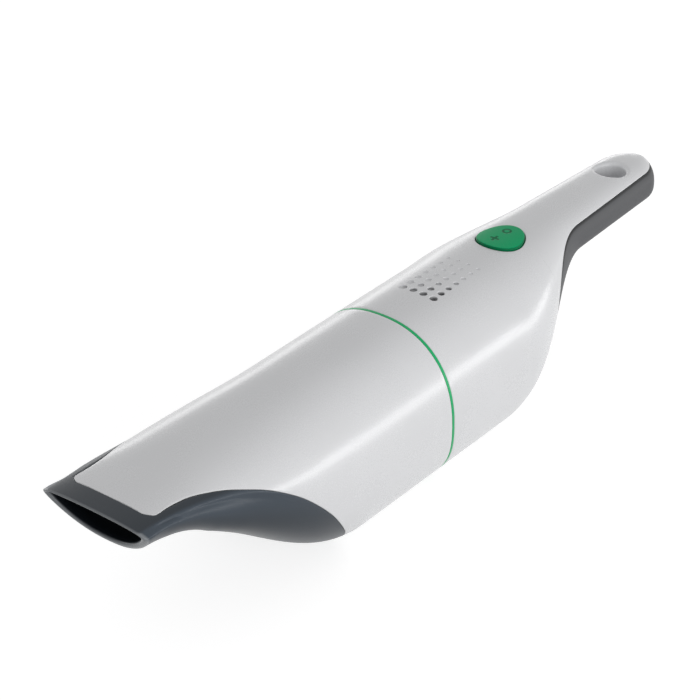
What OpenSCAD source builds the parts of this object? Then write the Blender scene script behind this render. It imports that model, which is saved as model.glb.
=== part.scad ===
// Handheld cordless crumb vacuum cleaner, in millimetres.
// X runs from the nozzle to the handle, Y across, Z up from the belly.
// The origin is under the middle of the length, on the rest surface.

/* [Body] */
// Length from the nozzle tip to the end of the handle
body_l = 430; // [426:1:450]
// Greatest width of the body
body_w = 86.5; // [84:0.5:92]
// Height of the crown above the rest surface
body_h = 83.8; // [82:0.2:88]
// How much lower the crown lies at both ends than in the middle
crown_drop = 1.9; // [0:0.1:3]
// Wall thickness of the white shells and of the grip cover
wall = 2.3; // [1.8:0.1:2.6]

/* [Nozzle] */
// Width of the mouth at the tip
mouth_w = 61.4; // [56:0.2:66]
// Height of the beak at the mouth
mouth_h = 21.8; // [20:0.2:24]
// How far the lower lip lies back per millimetre of height
lip_slant = 0.4; // [0.2:0.05:0.6]
// Wall thickness of the grey scoop
scoop_wall = 2.6; // [2.4:0.1:3.2]
// Width of the grey band along the upper lip
band_w = 10.6; // [8:0.2:13]
// Where the underside starts to fall from the beak
scoop_start = 19; // [15:1:22]
// Where the underside reaches the belly
belly_start = 142; // [136:1:148]
// Height of the straight part of the seam between scoop and cover
seam_h = 80.3; // [79:0.1:81]
// Where that seam meets the belly
seam_foot = 136; // [128:1:139]

/* [Handle] */
// Length of the straight handle
grip_l = 84; // [80:1:88]
// Length of the shoulder between body and handle
shoulder_l = 76; // [72:1:80]
// Width of the handle at the shoulder
neck_w = 41; // [40:0.2:44]
// Width of the handle at its round end
tip_w = 35; // [34:0.2:38]
// Thickness of the handle
grip_t = 23.7; // [23:0.1:26]
// Height of the seam line above the underside of the handle
grip_seam = 18.6; // [17:0.1:19.5]
// Radius of the hanging hole
hang_r = 8.1; // [6:0.1:9]
// Distance from the hanging hole to the end of the handle
hang_back = 29.2; // [26:0.2:32]

/* [Ring] */
// Length of the front unit, from the nozzle tip to the green ring
front_l = 201; // [199:0.5:204]
// Width of the green ring
ring_w = 1.6; // [1:0.1:2.4]

/* [Vents] */
// Rows of vent holes along the body
vent_rows = 7; // [4:1:7]
// Vent holes in a row
vent_cols = 4; // [2:1:4]
// Distance between neighbouring vent holes
vent_pitch = 6.15; // [5.5:0.05:6.5]
// Distance from the ring to the first row
vent_back = 29.5; // [26:0.5:32]
// Diameter of the holes in the first row
vent_d = 4; // [3:0.1:5]
// Size of each row against the row before it
vent_fade = 0.87; // [0.8:0.01:1]

/* [Power button] */
// Distance from the ring to the button's pivot
button_back = 99; // [96:0.5:102]
// Length of the button
button_l = 25.8; // [23:0.2:27]
// Width of the button
button_w = 24.3; // [22:0.1:26]
// How far the button's outline leans toward a triangle with its corner at the rear
button_corner = 0.55; // [0:0.05:0.9]
// How far the button stands above the crown
button_rise = 1.2; // [0.6:0.1:2]
// Distance of each key stem from the pivot
stem_reach = 8; // [6:0.2:8.5]

/* [Intake] */
// Where the intake duct ends
duct_end = 78; // [72:1:84]
// Inner width of the duct at its rear end
duct_w = 42; // [36:0.5:44]
// Inner height of the duct at its rear end
duct_h = 15; // [12:0.5:16]
// Wall of the duct
duct_wall = 1.5; // [1.2:0.1:1.8]
// Radius of the flap's hinge pin
flap_pin_r = 1; // [0.8:0.1:1.2]
// Thickness of the rubber flap
flap_t = 1.4; // [1:0.1:1.8]

/* [Filter] */
// Outer radius of the filter cage
cage_r = 28.5; // [26:0.5:30]
// Length of the filter cage
cage_l = 46; // [40:1:50]
// Number of pleats in the filter paper
pleats = 36; // [24:1:48]
// Depth of the pleats
pleat_depth = 8; // [6:0.5:10]
// Thickness of the filter flange
flange_t = 3; // [2.4:0.2:3.6]

/* [Fan and motor] */
// How far the fan and motor axis lies above the middle of the body's height
axis_rise = 3.1; // [2.1:0.5:4.1]
// Distance from the impeller's rim to the body's face, taken half from its width and half from its height
fan_margin = 17.575; // [17.575:0.1:19.575]
// Height of the impeller blades
blade_h = 6.5; // [5:0.5:7.5]
// Number of impeller blades
blades = 9; // [7:1:12]
// Radius of the motor can
motor_r = 15.2; // [14:0.1:15.4]
// Length of the motor can
motor_l = 50; // [48:1:51]
// Radius of the motor shaft
shaft_r = 1.6; // [1.4:0.1:2]

/* [Battery] */
// Radius of one battery cell
cell_r = 9.1; // [8.8:0.1:9.2]
// Length of one battery cell
cell_l = 65; // [60:0.5:66]
// Distance between the two cells' centre lines
cell_gap = 53.8; // [53.6:0.2:54.2]

/* [Board] */
// Length of the circuit board
board_l = 42; // [38:0.5:44]
// Width of the circuit board
board_w = 27; // [24:0.5:28]
// Thickness of the circuit board
board_t = 1.6; // [1.2:0.1:2]
// How far the top face of the board lies below the crown
board_drop = 12.8; // [12.8:0.1:13.4]

/* [Release and charging] */
// Side of the square release button under the belly
release_w = 13; // [11:0.5:14]
// Travel of the release button
release_travel = 2; // [1:0.1:2.4]
// Radius of the charging plug's bore
jack_r = 2.8; // [2:0.1:3]
// Height of the charging socket's axis
jack_h = 47; // [46:0.5:49]

/* [Clearances] */
// Gap between fixed neighbours
gap_fixed = 0.1; // [0.05:0.01:0.2]
// Gap between pieces that slide past each other
gap_slide = 0.3; // [0.2:0.05:0.4]
// Radial gap of a pin or shaft in its bore
gap_run = 0.04; // [0.02:0.01:0.08]
// Allowance of a press fit
gap_press = 0.01; // [0.01:0.01:0.03]

/* [Hidden] */
$fn = 64;

white = [0.93, 0.94, 0.95];
grey = [0.25, 0.28, 0.31];
grip_grey = [0.36, 0.37, 0.39];
green = [0.02, 0.55, 0.34];
inner_grey = [0.62, 0.63, 0.65];
black = [0.08, 0.08, 0.09];
steel = [0.72, 0.73, 0.75];
brass = [0.78, 0.62, 0.32];
copper = [0.72, 0.42, 0.25];

// Round the body each section has this many points
round_n = 40;
// Below the belly line the loft is cut flat, which gives a face to rest on
belly_sink = 1;
// Exponents of the section: body crown, body underside and handle
crown_n = 2.3;
belly_n = 2.6;
grip_n = 2.6;
// The mouth's lower lip is a flat lens with these two exponents
lip_a = 2.25;
lip_b = 1.26;
// Height of the widest point, as a share of the section, at the mouth and further back
mouth_wide = 0.77;
body_wide = 0.45;
// Lengths over which the mouth's shape and slant fade into the body's
mouth_blend = 60;
slant_blend = 45;
flare_end = 112;

neck_x = body_l - grip_l;
shoulder_x = neck_x - shoulder_l;
rise_x = shoulder_x - 12;
grip_low = body_h - grip_t;
axis_h = body_h / 2 + axis_rise;
fan_r = (body_w + body_h) / 4 - fan_margin;
board_h = body_h - board_drop;
hang_x = body_l - hang_back;
tip_r = tip_w / 2;
tip_x = body_l - tip_r;
ring_x = front_l + gap_fixed;
house_x = ring_x + ring_w + gap_fixed;
button_x = front_l + button_back;
seam_flat = 32;
tongue_x = band_w + 1;
tongue_r = 5;
tongue_w = 45;
// From the tongue's corners the cover's edge runs outward, this far back at the body's width
tongue_run = 40;

function clamp01(t) = min(max(t, 0), 1);
function ease(t) = let (u = clamp01(t)) u * u * (3 - 2 * u);
function mix(a, b, t) = a + (b - a) * t;
function power(v, n) = v <= 0 ? 0 : pow(v, n);

// The handle's end is round in plan, and a wall thickness is taken off its radius too
function tip_round(x, inset) = x <= tip_x ? 1
    : sqrt(max(0, 1 - pow((x - tip_x) / (tip_r - inset), 2)));
function half_w(x) =
    let (front = mix(mouth_w / 2, body_w / 2, ease(x / flare_end)),
         rear = mix(front, neck_w / 2, ease((x - shoulder_x) / shoulder_l)))
    rear - (neck_w - tip_w) / 2 * clamp01((x - neck_x) / (tip_x - neck_x));
function crown_z(x) = body_h - crown_drop * pow(2 * x / body_l - 1, 2);
function under_z(x, sink) =
    let (front = mix(crown_z(0) - mouth_h, -sink, ease((x - scoop_start) / (belly_start - scoop_start))))
    mix(front, grip_low, ease((x - rise_x) / (neck_x - rise_x)));

// One closed section at x, each wall thickness in from the outer face
function section(x, inset = 0, n = round_n) =
    let (top0 = crown_z(x), low0 = under_z(x, inset > 0 ? 0 : belly_sink),
         squash = power(tip_round(x, inset), 0.2),
         mid = (top0 + low0) / 2,
         top = mid + (top0 - inset - mid) * squash,
         low = mid + (low0 + inset - mid) * squash,
         w = (half_w(x) - inset) * tip_round(x, inset),
         m = ease(x / mouth_blend), g = ease((x - shoulder_x) / shoulder_l),
         wide = mix(low0, top0, mix(mouth_wide, body_wide, m)),
         e_top = mix(crown_n, grip_n, g),
         e_a = mix(mix(lip_a, belly_n, m), grip_n, g),
         e_b = mix(mix(lip_b, belly_n, m), grip_n, g))
    [for (i = [0 : n - 1]) let (a = 360 * i / n, c = cos(a), s = sin(a),
        u = sign(c) * power(abs(c), 2 / e_top))
        [w * u, s >= 0 ? wide + (top - wide) * power(s, 2 / e_top)
                       : wide - (wide - low) * power(1 - power(abs(u), e_a), 1 / e_b)]];

function slant(x) = lip_slant * max(0, 1 - x / slant_blend);
function lean(x, p) = [x + slant(x) * (crown_z(0) - p[1]), p[0], p[1]];
function station(x, inset) = [for (p = section(x, inset)) lean(x, p)];

// Stations lie close together where the outline bends and far apart where it runs straight
function steps(from, to, n) = [for (i = [0 : n - 1]) from + (to - from) * i / n];
function front_xs(from, to) = concat(steps(from, belly_start, 15), [belly_start, to]);
function tip_xs(inset) = [for (a = [0 : 14 : 84]) tip_x + (tip_r - inset) * sin(a)];
function rear_xs(from, inset) = concat([from], steps(rise_x, neck_x + 8, 13), [neck_x + 8], tip_xs(inset));

// Closed solid through rows of points, each row one closed section
module skin(rows) {
    m = len(rows[0]);
    n = len(rows);
    sides = [for (i = [0 : n - 2], j = [0 : m - 1]) let (k = (j + 1) % m)
        each [[i * m + j, (i + 1) * m + j, (i + 1) * m + k], [i * m + j, (i + 1) * m + k, i * m + k]]];
    first = [for (j = [0 : m - 1]) j];
    last = [for (j = [m - 1 : -1 : 0]) (n - 1) * m + j];
    polyhedron([for (r = rows) each r], concat(sides, [first, last]));
}
module loft(xs, inset) skin([for (x = xs) station(x, inset)]);

// Everything is drawn from the nozzle tip and then moved to the origin
module placed() translate([-body_l / 2, 0, 0]) children();
// A flat outline in Y and Z, extruded along X
module plate(x, t) translate([x, 0, 0]) rotate([90, 0, 90]) linear_extrude(t) children();
// An outline in X and Z, extruded both ways along Y
module side_prism(points, w = body_w + 20)
    rotate([90, 0, 0]) linear_extrude(w, center = true) polygon(points);
module rod_x(x, l, r, y = 0, z = axis_h) translate([x, y, z]) rotate([0, 90, 0]) cylinder(h = l, r = r);
module rod_y(x, z, l, r, y = 0) translate([x, y - l / 2, z]) rotate([-90, 0, 0]) cylinder(h = l, r = r);
module rod_z(x, y, z, h, r) translate([x, y, z]) cylinder(h = h, r = r);
module tube_x(x, l, r, bore, y = 0, z = axis_h) difference() {
    rod_x(x, l, r, y, z);
    rod_x(x - 1, l + 2, bore, y, z);
}
module outline(x, inset) polygon(section(x, inset));
module ring_outline(x, outer, inner) difference() {
    outline(x, outer);
    outline(x, inner);
}
// The belly's rest face
module above_floor() intersection() {
    children();
    translate([-10, -body_w, 0]) cube([body_l + 20, 2 * body_w, body_h + 20]);
}

// Seam between the white cover and the grey scoop: level, then a falling parabola
function seam_z(x) = seam_h - seam_h * pow(max(0, x - seam_flat) / (seam_foot - seam_flat), 2);
seam_xs = [for (i = [0 : 14]) seam_flat + (seam_foot + 3 - seam_flat) * i / 14];
module cover_zone(grow) intersection() {
    side_prism(concat([[tongue_x - grow, body_h + 9], [tongue_x - grow, seam_h - grow]],
        [for (x = seam_xs) [x - grow, seam_z(x) - grow]],
        [[front_l + 9, -9], [front_l + 9, body_h + 9]]));
    translate([0, 0, -9]) linear_extrude(body_h + 30) offset(r = tongue_r + grow)
        polygon([[tongue_x + tongue_r, -tongue_w / 2 + tongue_r], [tongue_x + tongue_run, -body_w],
            [front_l + 9, -body_w], [front_l + 9, body_w], [tongue_x + tongue_run, body_w],
            [tongue_x + tongue_r, tongue_w / 2 - tongue_r]]);
}

// Rib that the filter flange rests against, and the notch for the catch
rib_x = front_l - 22;
rib_t = 2.4;
rib_inset = wall + 2.6;
catch_x = front_l - 3.4;
catch_w = 9;
catch_l = 3;
catch_d = 1.1;
module catch_notch() translate([catch_x, -catch_w / 2, wall - catch_d]) cube([catch_l, catch_w, wall]);

module container_shell() color(white) placed() difference() {
    above_floor() intersection() {
        loft(front_xs(4, front_l), 0);
        cover_zone(0);
    }
    difference() {
        loft(front_xs(0, front_l + 3), wall);
        plate(rib_x - rib_t, rib_t) ring_outline(rib_x, 0, rib_inset);
    }
    catch_notch();
}

module nozzle_scoop() color(grey) placed() difference() {
    above_floor() loft(front_xs(0, belly_start + 1), 0);
    loft(front_xs(-4, belly_start + 3), scoop_wall);
    cover_zone(gap_fixed);
}

// Duct from the mouth into the container, with round ears for the flap hinge
duct_x = 13;
duct_bend = 34;
duct_gap = 0.5;
duct_drop = 10.8;
duct_top = body_h - duct_drop;
duct_low = duct_top - duct_h;
duct_n = 28;
duct_corner = 6;
ear_t = 2.2;
ear_r = 2.6;
ear_y = duct_w / 2 + duct_wall - ear_t;
flap_x = duct_end + 2.6;
flap_z = duct_top - 1;
barrel_r = flap_pin_r + 1.1;
// It starts parallel to the scoop and turns into a rounded box
function duct_row(x, inset) =
    let (t = ease((x - duct_bend) / (duct_end - duct_bend)),
         w = duct_w / 2 + duct_wall - inset, h = duct_h / 2 + duct_wall - inset,
         body = section(min(x, duct_bend), scoop_wall + duct_gap + inset, duct_n))
    [for (i = [0 : duct_n - 1]) let (c = cos(360 * i / duct_n), s = sin(360 * i / duct_n),
        box_y = w * sign(c) * power(abs(c), 2 / duct_corner),
        box_z = (duct_low + duct_top) / 2 + h * sign(s) * power(abs(s), 2 / duct_corner))
        lean(x, [mix(body[i][0], box_y, t), mix(body[i][1], box_z, t)])];
duct_xs = concat([0.7 * duct_bend], [for (t = [0, 0.27, 0.6, 0.86]) mix(duct_bend, duct_end, t)]);
module duct_form(from, to, inset) skin([for (x = concat([from], duct_xs, [to])) duct_row(x, inset)]);
module intake_duct() color(inner_grey) placed() difference() {
    union() {
        difference() {
            duct_form(duct_x, duct_end, 0);
            duct_form(duct_x - 4, duct_end + 4, duct_wall);
        }
        for (s = [-1, 1]) {
            rod_y(flap_x, flap_z, ear_t, ear_r, s * (ear_y + ear_t / 2));
            translate([duct_end - 2, s * (ear_y + ear_t / 2) - ear_t / 2, flap_z - ear_r])
                cube([flap_x - duct_end + 2, ear_t, 2 * ear_r]);
        }
    }
    rod_y(flap_x, flap_z, body_w, flap_pin_r + gap_run);
}

flap_w = 2 * (ear_y - gap_slide);
flap_low = duct_low - 1;
module intake_flap() color(black) placed() difference() {
    union() {
        rod_y(flap_x, flap_z, flap_w, barrel_r);
        translate([duct_end + gap_slide, -flap_w / 2, flap_low]) cube([flap_t, flap_w, flap_z - flap_low]);
        translate([duct_end + gap_slide, -duct_w / 2 - 1, flap_low])
            cube([flap_t, duct_w + 2, flap_z - ear_r - 0.7 - flap_low]);
    }
    rod_y(flap_x, flap_z, body_w, flap_pin_r + gap_run);
}

module flap_pin() color(steel) placed() rod_y(flap_x, flap_z, 2 * (ear_y + ear_t), flap_pin_r);

// Filter unit: flange, cage, paper, net and seal
flange_x = rib_x + gap_fixed;
flange_inset = wall + gap_slide;
cage_x = flange_x - cage_l;
cap_t = 2.4;
bar_n = 8;
bar_w = 3;
cage_bore = cage_r - 2.2;
tab_l = 9;
tab_w = 27;
tab_t = 3;
tab_h = 4;
tab_z = axis_h + cage_bore - tab_h / 2;
module filter_frame() color(inner_grey) placed() union() {
    difference() {
        plate(flange_x, flange_t) outline(rib_x, flange_inset);
        rod_x(flange_x - 1, flange_t + 2, cage_bore);
    }
    difference() {
        rod_x(cage_x, cap_t, cage_r);
        rod_x(cage_x - 1, 1.8, cage_r - 6);
    }
    for (i = [0 : bar_n - 1]) translate([cage_x, 0, axis_h]) rotate([360 * (i + 0.5) / bar_n, 0, 0])
        translate([0, -bar_w / 2, cage_bore + 0.2]) cube([cage_l + 1, bar_w, cage_r - cage_bore - 0.4]);
    difference() {
        translate([flange_x, -tab_w / 2, tab_z]) cube([flange_t + tab_l, tab_w, tab_h]);
        translate([flange_x - 1, tab_t - tab_w / 2, tab_z - 1])
            cube([flange_t + tab_l + 1 - tab_t, tab_w - 2 * tab_t, tab_h + 2]);
    }
}

module filter_pleats() color([0.9, 0.88, 0.8]) placed()
    plate(cage_x + cap_t + gap_fixed, cage_l + flange_t - cap_t - 2 * gap_fixed)
    translate([0, axis_h]) difference() {
        polygon([for (i = [0 : 2 * pleats - 1]) let (a = 180 * i / pleats,
            r = cage_bore - 0.2 - (i % 2) * pleat_depth) [r * cos(a), r * sin(a)]]);
        circle(r = cage_bore - pleat_depth - 2.2);
    }

module pre_filter() color(steel) placed()
    tube_x(cage_x + 0.4, cage_l - 0.8, cage_r + 0.7, cage_r + gap_fixed);

seal_t = 2.4;
module filter_seal() color(black) placed() plate(flange_x + flange_t + gap_fixed, seal_t)
    ring_outline(rib_x, flange_inset + 0.1, flange_inset + 3);

module trim_ring() color(green) placed() above_floor()
    plate(ring_x, ring_w) ring_outline(ring_x, 0, wall + 1);

// Front wall of the motor unit, with the spigot that enters the container
spigot_l = 11;
spigot_inset = wall + 2.4;
spigot_t = 2;
bulk_x = house_x;
bulk_t = 2.6;
inlet_r = 15;
screw_r = 1.5;
boss_wall = 2.2;
// The four screws lie on the diagonals, inside the spigot
screw_inset = 10;
function diagonals(inset) = let (s = section(bulk_x, inset)) [for (i = [1 : 2 : 7]) s[i * round_n / 8]];
screw_at = diagonals(screw_inset);
wall_at = diagonals(wall / 2);
module inlet_grille(x, t) {
    for (r = [4, 9.5]) tube_x(x, t, r + 1.2, r);
    for (i = [0 : 5]) translate([x + 0.2, 0, axis_h]) rotate([60 * i, 0, 0])
        translate([0, -0.7, 4.6]) cube([t - 0.4, 1.4, inlet_r - 4]);
}
module bulkhead() color(inner_grey) placed() difference() {
    union() {
        difference() {
            union() {
                plate(bulk_x, bulk_t) outline(bulk_x, wall + gap_fixed);
                plate(ring_x, bulk_x - ring_x + 1) outline(ring_x, wall + 1 + gap_fixed);
            }
            rod_x(bulk_x - 9, bulk_t + 20, inlet_r);
            plate(ring_x - 1, bulk_x - ring_x + 1) outline(ring_x, spigot_inset + spigot_t);
        }
        plate(ring_x - spigot_l, spigot_l + 1) ring_outline(ring_x, spigot_inset, spigot_inset + spigot_t);
        inlet_grille(bulk_x + 0.3, bulk_t - 0.6);
    }
    for (p = screw_at) rod_x(bulk_x - 2, bulk_t + 4, screw_r + 0.2, p[0], p[1]);
    leaf_tunnel(catch_x - 1, 12);
}

module container_seal() color(black) placed()
    plate(ring_x - spigot_l + 1.5, 3.4) ring_outline(ring_x, wall + gap_slide, spigot_inset - gap_fixed);

screw_l = 10;
module bulkhead_screws() color(steel) placed() for (p = screw_at) {
    rod_x(bulk_x - 1.8 - gap_fixed, 1.8, 2.8, p[0], p[1]);
    rod_x(bulk_x - 1 - gap_fixed, screw_l, screw_r, p[0], p[1]);
}

// Fan: shroud cup, impeller and diffuser
fan_x = bulk_x + bulk_t + gap_fixed;
shroud_wall = 1.2;
shroud_r = fan_r + 1.2 + shroud_wall;
disc_t = 1.4;
// Gaps ahead of and behind the impeller, and how far the diffuser's plug enters the cup
fan_front = 1.2;
fan_back = 1.6;
plug_l = 1.6;
shroud_l = shroud_wall + fan_front + 2 * disc_t + blade_h + fan_back + plug_l;
eye_r = 12;
module fan_shroud() color(black) placed() difference() {
    rod_x(fan_x, shroud_l, shroud_r);
    rod_x(fan_x + shroud_wall, shroud_l, shroud_r - shroud_wall);
    rod_x(fan_x - 1, shroud_l, eye_r);
}

impeller_x = fan_x + shroud_wall + fan_front;
hub_r = 5;
blade_t = 1.2;
// A blade is one thin arc that starts at the eye and leans back at the rim
module blade_outline() {
    arc_r = fan_r * 0.62;
    intersection() {
        translate([0, arc_r]) difference() {
            circle(r = arc_r + blade_t / 2);
            circle(r = arc_r - blade_t / 2);
        }
        difference() {
            circle(r = fan_r - 0.3);
            circle(r = hub_r + 2.5);
        }
        translate([0, -1]) square([fan_r, fan_r]);
    }
}
module impeller() color(inner_grey) placed() difference() {
    union() {
        tube_x(impeller_x, disc_t, fan_r, eye_r);
        rod_x(impeller_x + disc_t + blade_h, disc_t, fan_r);
        rod_x(impeller_x + disc_t + 1, blade_h + disc_t - 1, hub_r);
        plate(impeller_x + disc_t - 0.1, blade_h + 0.2) translate([0, axis_h])
            for (i = [0 : blades - 1]) rotate(360 * i / blades) blade_outline();
    }
    rod_x(impeller_x - 1, blade_h + 9, shaft_r + gap_press);
}

diff_x = fan_x + shroud_l + gap_fixed;
diff_t = 2;
boss_r = 6.4;
module diffuser() color(black) placed() difference() {
    union() {
        rod_x(diff_x, diff_t, shroud_r);
        rod_x(diff_x - plug_l, plug_l + 0.4, shroud_r - shroud_wall - gap_slide);
    }
    rod_x(diff_x - 9, 20, boss_r + gap_fixed);
    for (i = [0 : 11]) translate([diff_x - 9, 0, axis_h]) rotate([30 * i, 0, 0])
        translate([0, -2.4, fan_r - 6.6]) cube([20, 4.8, 5.4]);
}

// Motor: can, magnets, armature, commutator, shaft, bearings, end cap and brushes
motor_x = diff_x + diff_t + gap_fixed;
can_wall = 1.4;
motor_end = motor_x + motor_l;
bearing_r = 4.2;
end_cap_t = 4.4;
cap_x = motor_end - end_cap_t;
module motor_can() color(steel) placed() difference() {
    union() {
        rod_x(motor_x, motor_l, motor_r);
        rod_x(motor_x - diff_t, diff_t + 1, boss_r);
    }
    rod_x(motor_x + can_wall, motor_l, motor_r - can_wall);
    rod_x(motor_x - 9, 20, bearing_r);
}
magnet_x = motor_x + 9;
magnet_l = 30;
magnet_r = motor_r - can_wall - gap_fixed;
module motor_magnets() color(black) placed() intersection() {
    tube_x(magnet_x, magnet_l, magnet_r, magnet_r - 2.4);
    for (s = [-1, 1]) translate([magnet_x, s * magnet_r, axis_h])
        cube([magnet_l * 2, magnet_r, magnet_r * 3], center = true);
}
arm_r = magnet_r - 2.4 - 0.5;
arm_x = magnet_x + 2;
arm_l = 26;
poles = 5;
module armature() color(copper) placed() plate(arm_x, arm_l) translate([0, axis_h]) difference() {
    circle(r = arm_r);
    for (i = [0 : poles - 1]) rotate(360 * i / poles) {
        translate([arm_r - 3, -0.9]) square([6, 1.8]);
        translate([arm_r - 4.4, 0]) circle(r = 2.2);
    }
    circle(r = shaft_r + gap_press);
}
comm_r = 4.6;
comm_x = arm_x + arm_l + 1.5;
comm_l = cap_x - comm_x - 0.6;
module commutator() color(brass) placed() plate(comm_x, comm_l) translate([0, axis_h]) difference() {
    circle(r = comm_r);
    for (i = [0 : poles - 1]) rotate(360 * (i + 0.5) / poles)
        translate([comm_r - 0.7, -0.25]) square([2, 0.5]);
    circle(r = shaft_r + gap_press);
}
shaft_x = impeller_x + 1;
module motor_shaft() color(steel) placed() rod_x(shaft_x, motor_end + 1.5 - shaft_x, shaft_r);
bearing_l = 3.4;
module motor_bearings() color(brass) placed() {
    tube_x(motor_x - diff_t + 0.3, bearing_l, bearing_r - gap_fixed / 2, shaft_r + gap_run);
    tube_x(motor_end - bearing_l, bearing_l, bearing_r - gap_fixed / 2, shaft_r + gap_run);
}
brush_w = 3;
module motor_end_cap() color(black) placed() difference() {
    union() {
        rod_x(cap_x, end_cap_t, motor_r - can_wall - gap_fixed);
        for (s = [-1, 1]) translate([comm_x + 1, s * 8.4 - 2.6, axis_h - 3]) cube([cap_x - comm_x, 5.2, 6]);
        for (s = [-1, 1]) translate([cap_x + 4, s * 9 - 1.6, axis_h - 0.4]) cube([5, 3.2, 0.8]);
    }
    rod_x(cap_x - 9, 20, bearing_r);
    translate([comm_x - 1, -motor_r, axis_h - brush_w / 2 - gap_fixed])
        cube([cap_x - comm_x - 0.5, 2 * motor_r, brush_w + 2 * gap_fixed]);
}
module motor_brushes() color(black) placed() difference() {
    for (s = [-1, 1]) translate([comm_x + 1.2, s * (comm_r + 3) - 3, axis_h - brush_w / 2])
        cube([brush_w, 6, brush_w]);
    rod_x(comm_x - 1, comm_l + 2, comm_r + gap_run);
}

// Plates that carry the motor and the two cells
motor_ring_t = 2.2;
ring_back = 8;
motor_ring_x = motor_end - ring_back - 4;
module motor_ring() color(black) placed()
    tube_x(motor_ring_x, ring_back, motor_r + motor_ring_t, motor_r + gap_run);

cell_x = motor_x + 1.5;
module cell_holes(x, l, grow) for (s = [-1, 1]) rod_x(x, l, cell_r + grow, s * cell_gap / 2);
frame_t = 2.6;
front_frame_x = motor_x + 4;
foam_low = body_h - 8.6;
module foam_notch(x, l) translate([x, -foam_w / 2 - gap_slide, foam_low - gap_slide])
    cube([l, foam_w + 2 * gap_slide, body_h]);
module front_frame() color(inner_grey) placed() difference() {
    plate(front_frame_x, frame_t) outline(front_frame_x, wall + gap_fixed);
    rod_x(front_frame_x - 1, frame_t + 2, motor_r + gap_fixed);
    cell_holes(front_frame_x - 1, frame_t + 2, gap_fixed);
    foam_notch(front_frame_x - 1, frame_t + 2);
    leaf_tunnel(front_frame_x - 1, frame_t + 2);
}
rear_frame_x = motor_ring_x + 2.5;
sleeve_l = 16;
sleeve_t = 1.4;
// Window that the wires pass through
wire_w = 28;
wire_h = 7;
wire_drop = 34;
module rear_frame() color(inner_grey) placed() difference() {
    union() {
        plate(rear_frame_x, frame_t) outline(rear_frame_x + frame_t, wall + gap_slide);
        intersection() {
            cell_holes(rear_frame_x, sleeve_l, sleeve_t);
            plate(rear_frame_x, sleeve_l) outline(rear_frame_x + sleeve_l, wall + gap_slide);
        }
    }
    rod_x(rear_frame_x - 1, sleeve_l + 2, motor_r + motor_ring_t + gap_fixed);
    cell_holes(rear_frame_x - 1, sleeve_l + 2, gap_fixed);
    foam_notch(rear_frame_x - 1, frame_t + 2);
    translate([rear_frame_x - 1, -wire_w / 2, axis_h - wire_drop]) cube([frame_t + 2, wire_w, wire_h]);
}

module battery_cells() color([0.1, 0.42, 0.62]) placed() for (s = [-1, 1]) {
    rod_x(cell_x, cell_l - 1, cell_r, s * cell_gap / 2);
    rod_x(cell_x + cell_l - 1.5, 1.5, 3.2, s * cell_gap / 2);
}
strap_w = 6;
strap_t = 0.4;
module battery_straps() color(steel) placed() {
    translate([cell_x + cell_l + gap_fixed, -(cell_gap + strap_w) / 2, axis_h - strap_w / 2])
        cube([strap_t, cell_gap + strap_w, strap_w]);
    for (s = [-1, 1])
        translate([cell_x - strap_t - gap_fixed, (s * cell_gap - strap_w) / 2, axis_h - strap_w])
        cube([strap_t, strap_w, 2 * strap_w]);
}

// Circuit board under the power button
board_x = button_x - board_l / 2 + 1;
post_r = 2.6;
board_screw_r = 1.1;
board_screw_l = 6;
posts = [[board_x + 4, board_w / 2 - 4], [board_x + 4, 4 - board_w / 2],
    [board_x + board_l - 4, board_w / 2 - 4], [board_x + board_l - 4, 4 - board_w / 2]];
module control_board() color([0.05, 0.35, 0.2]) placed() difference() {
    translate([board_x, -board_w / 2, board_h - board_t]) cube([board_l, board_w, board_t]);
    for (p = posts) rod_z(p[0], p[1], board_h - 9, 20, board_screw_r + 0.2);
}
switch_h = 3.4;
plunger_h = 1.1;
// Sides of the chip, radius of the capacitor, and length and width of the plug housing
chip_w = 5;
cap_r = 2.2;
header_l = 3.4;
header_w = 6.4;
module board_parts() color(black) placed() translate([0, 0, board_h]) {
    for (s = [-1, 1]) translate([button_x + s * stem_reach, 0, 0]) {
        translate([-3, -3, 0]) cube([6, 6, switch_h]);
        cylinder(h = switch_h + plunger_h, r = 1.7);
    }
    translate([button_x - chip_w / 2, 1.5 - board_w / 2, 0]) cube([chip_w, chip_w, 1.6]);
    translate([button_x - chip_w / 2, board_w / 2 - 6.5, 0]) cylinder(h = switch_h - 0.4, r = cap_r);
    translate([board_x + board_l - header_l - 1.2, -header_w / 2, 0]) cube([header_l, header_w, 4]);
}
module board_screws() color(steel) placed() for (p = posts) {
    rod_z(p[0], p[1], board_h - board_t - 1.2 - gap_fixed, 1.2, 2.2);
    rod_z(p[0], p[1], board_h - board_t - 1, board_screw_l, board_screw_r);
}

// Foam pad right under the vents, its upper face follows the shell
foam_edge = 4;
foam_x = front_l + vent_back - foam_edge;
foam_l = (vent_rows - 1) * vent_pitch + 2 * foam_edge;
foam_w = vent_cols * vent_pitch + foam_edge;
module exhaust_foam() color([0.2, 0.2, 0.22]) placed() intersection() {
    loft([foam_x - foam_edge, foam_x + foam_l + foam_edge], wall + gap_slide);
    translate([foam_x, -foam_w / 2, foam_low]) cube([foam_l, foam_w, body_h - foam_low]);
}

// White housing of the motor unit and the top of the handle
seam_cx = neck_x;
seam_cz = 38;
seam_rx = 43;
grip_seam_z = grip_low + grip_seam;
seam_e = 2.3;
module grip_zone(grow) side_prism(concat(
    [[body_l + 9, grip_seam_z + grow]],
    [for (i = [0 : 16]) let (a = 90 - 90 * i / 16)
        [seam_cx - (seam_rx + grow) * power(cos(a), 2 / seam_e),
         seam_cz + (grip_seam_z - seam_cz + grow) * power(sin(a), 2 / seam_e)]],
    [[seam_cx - seam_rx - grow, -9], [body_l + 9, -9]]));

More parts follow.
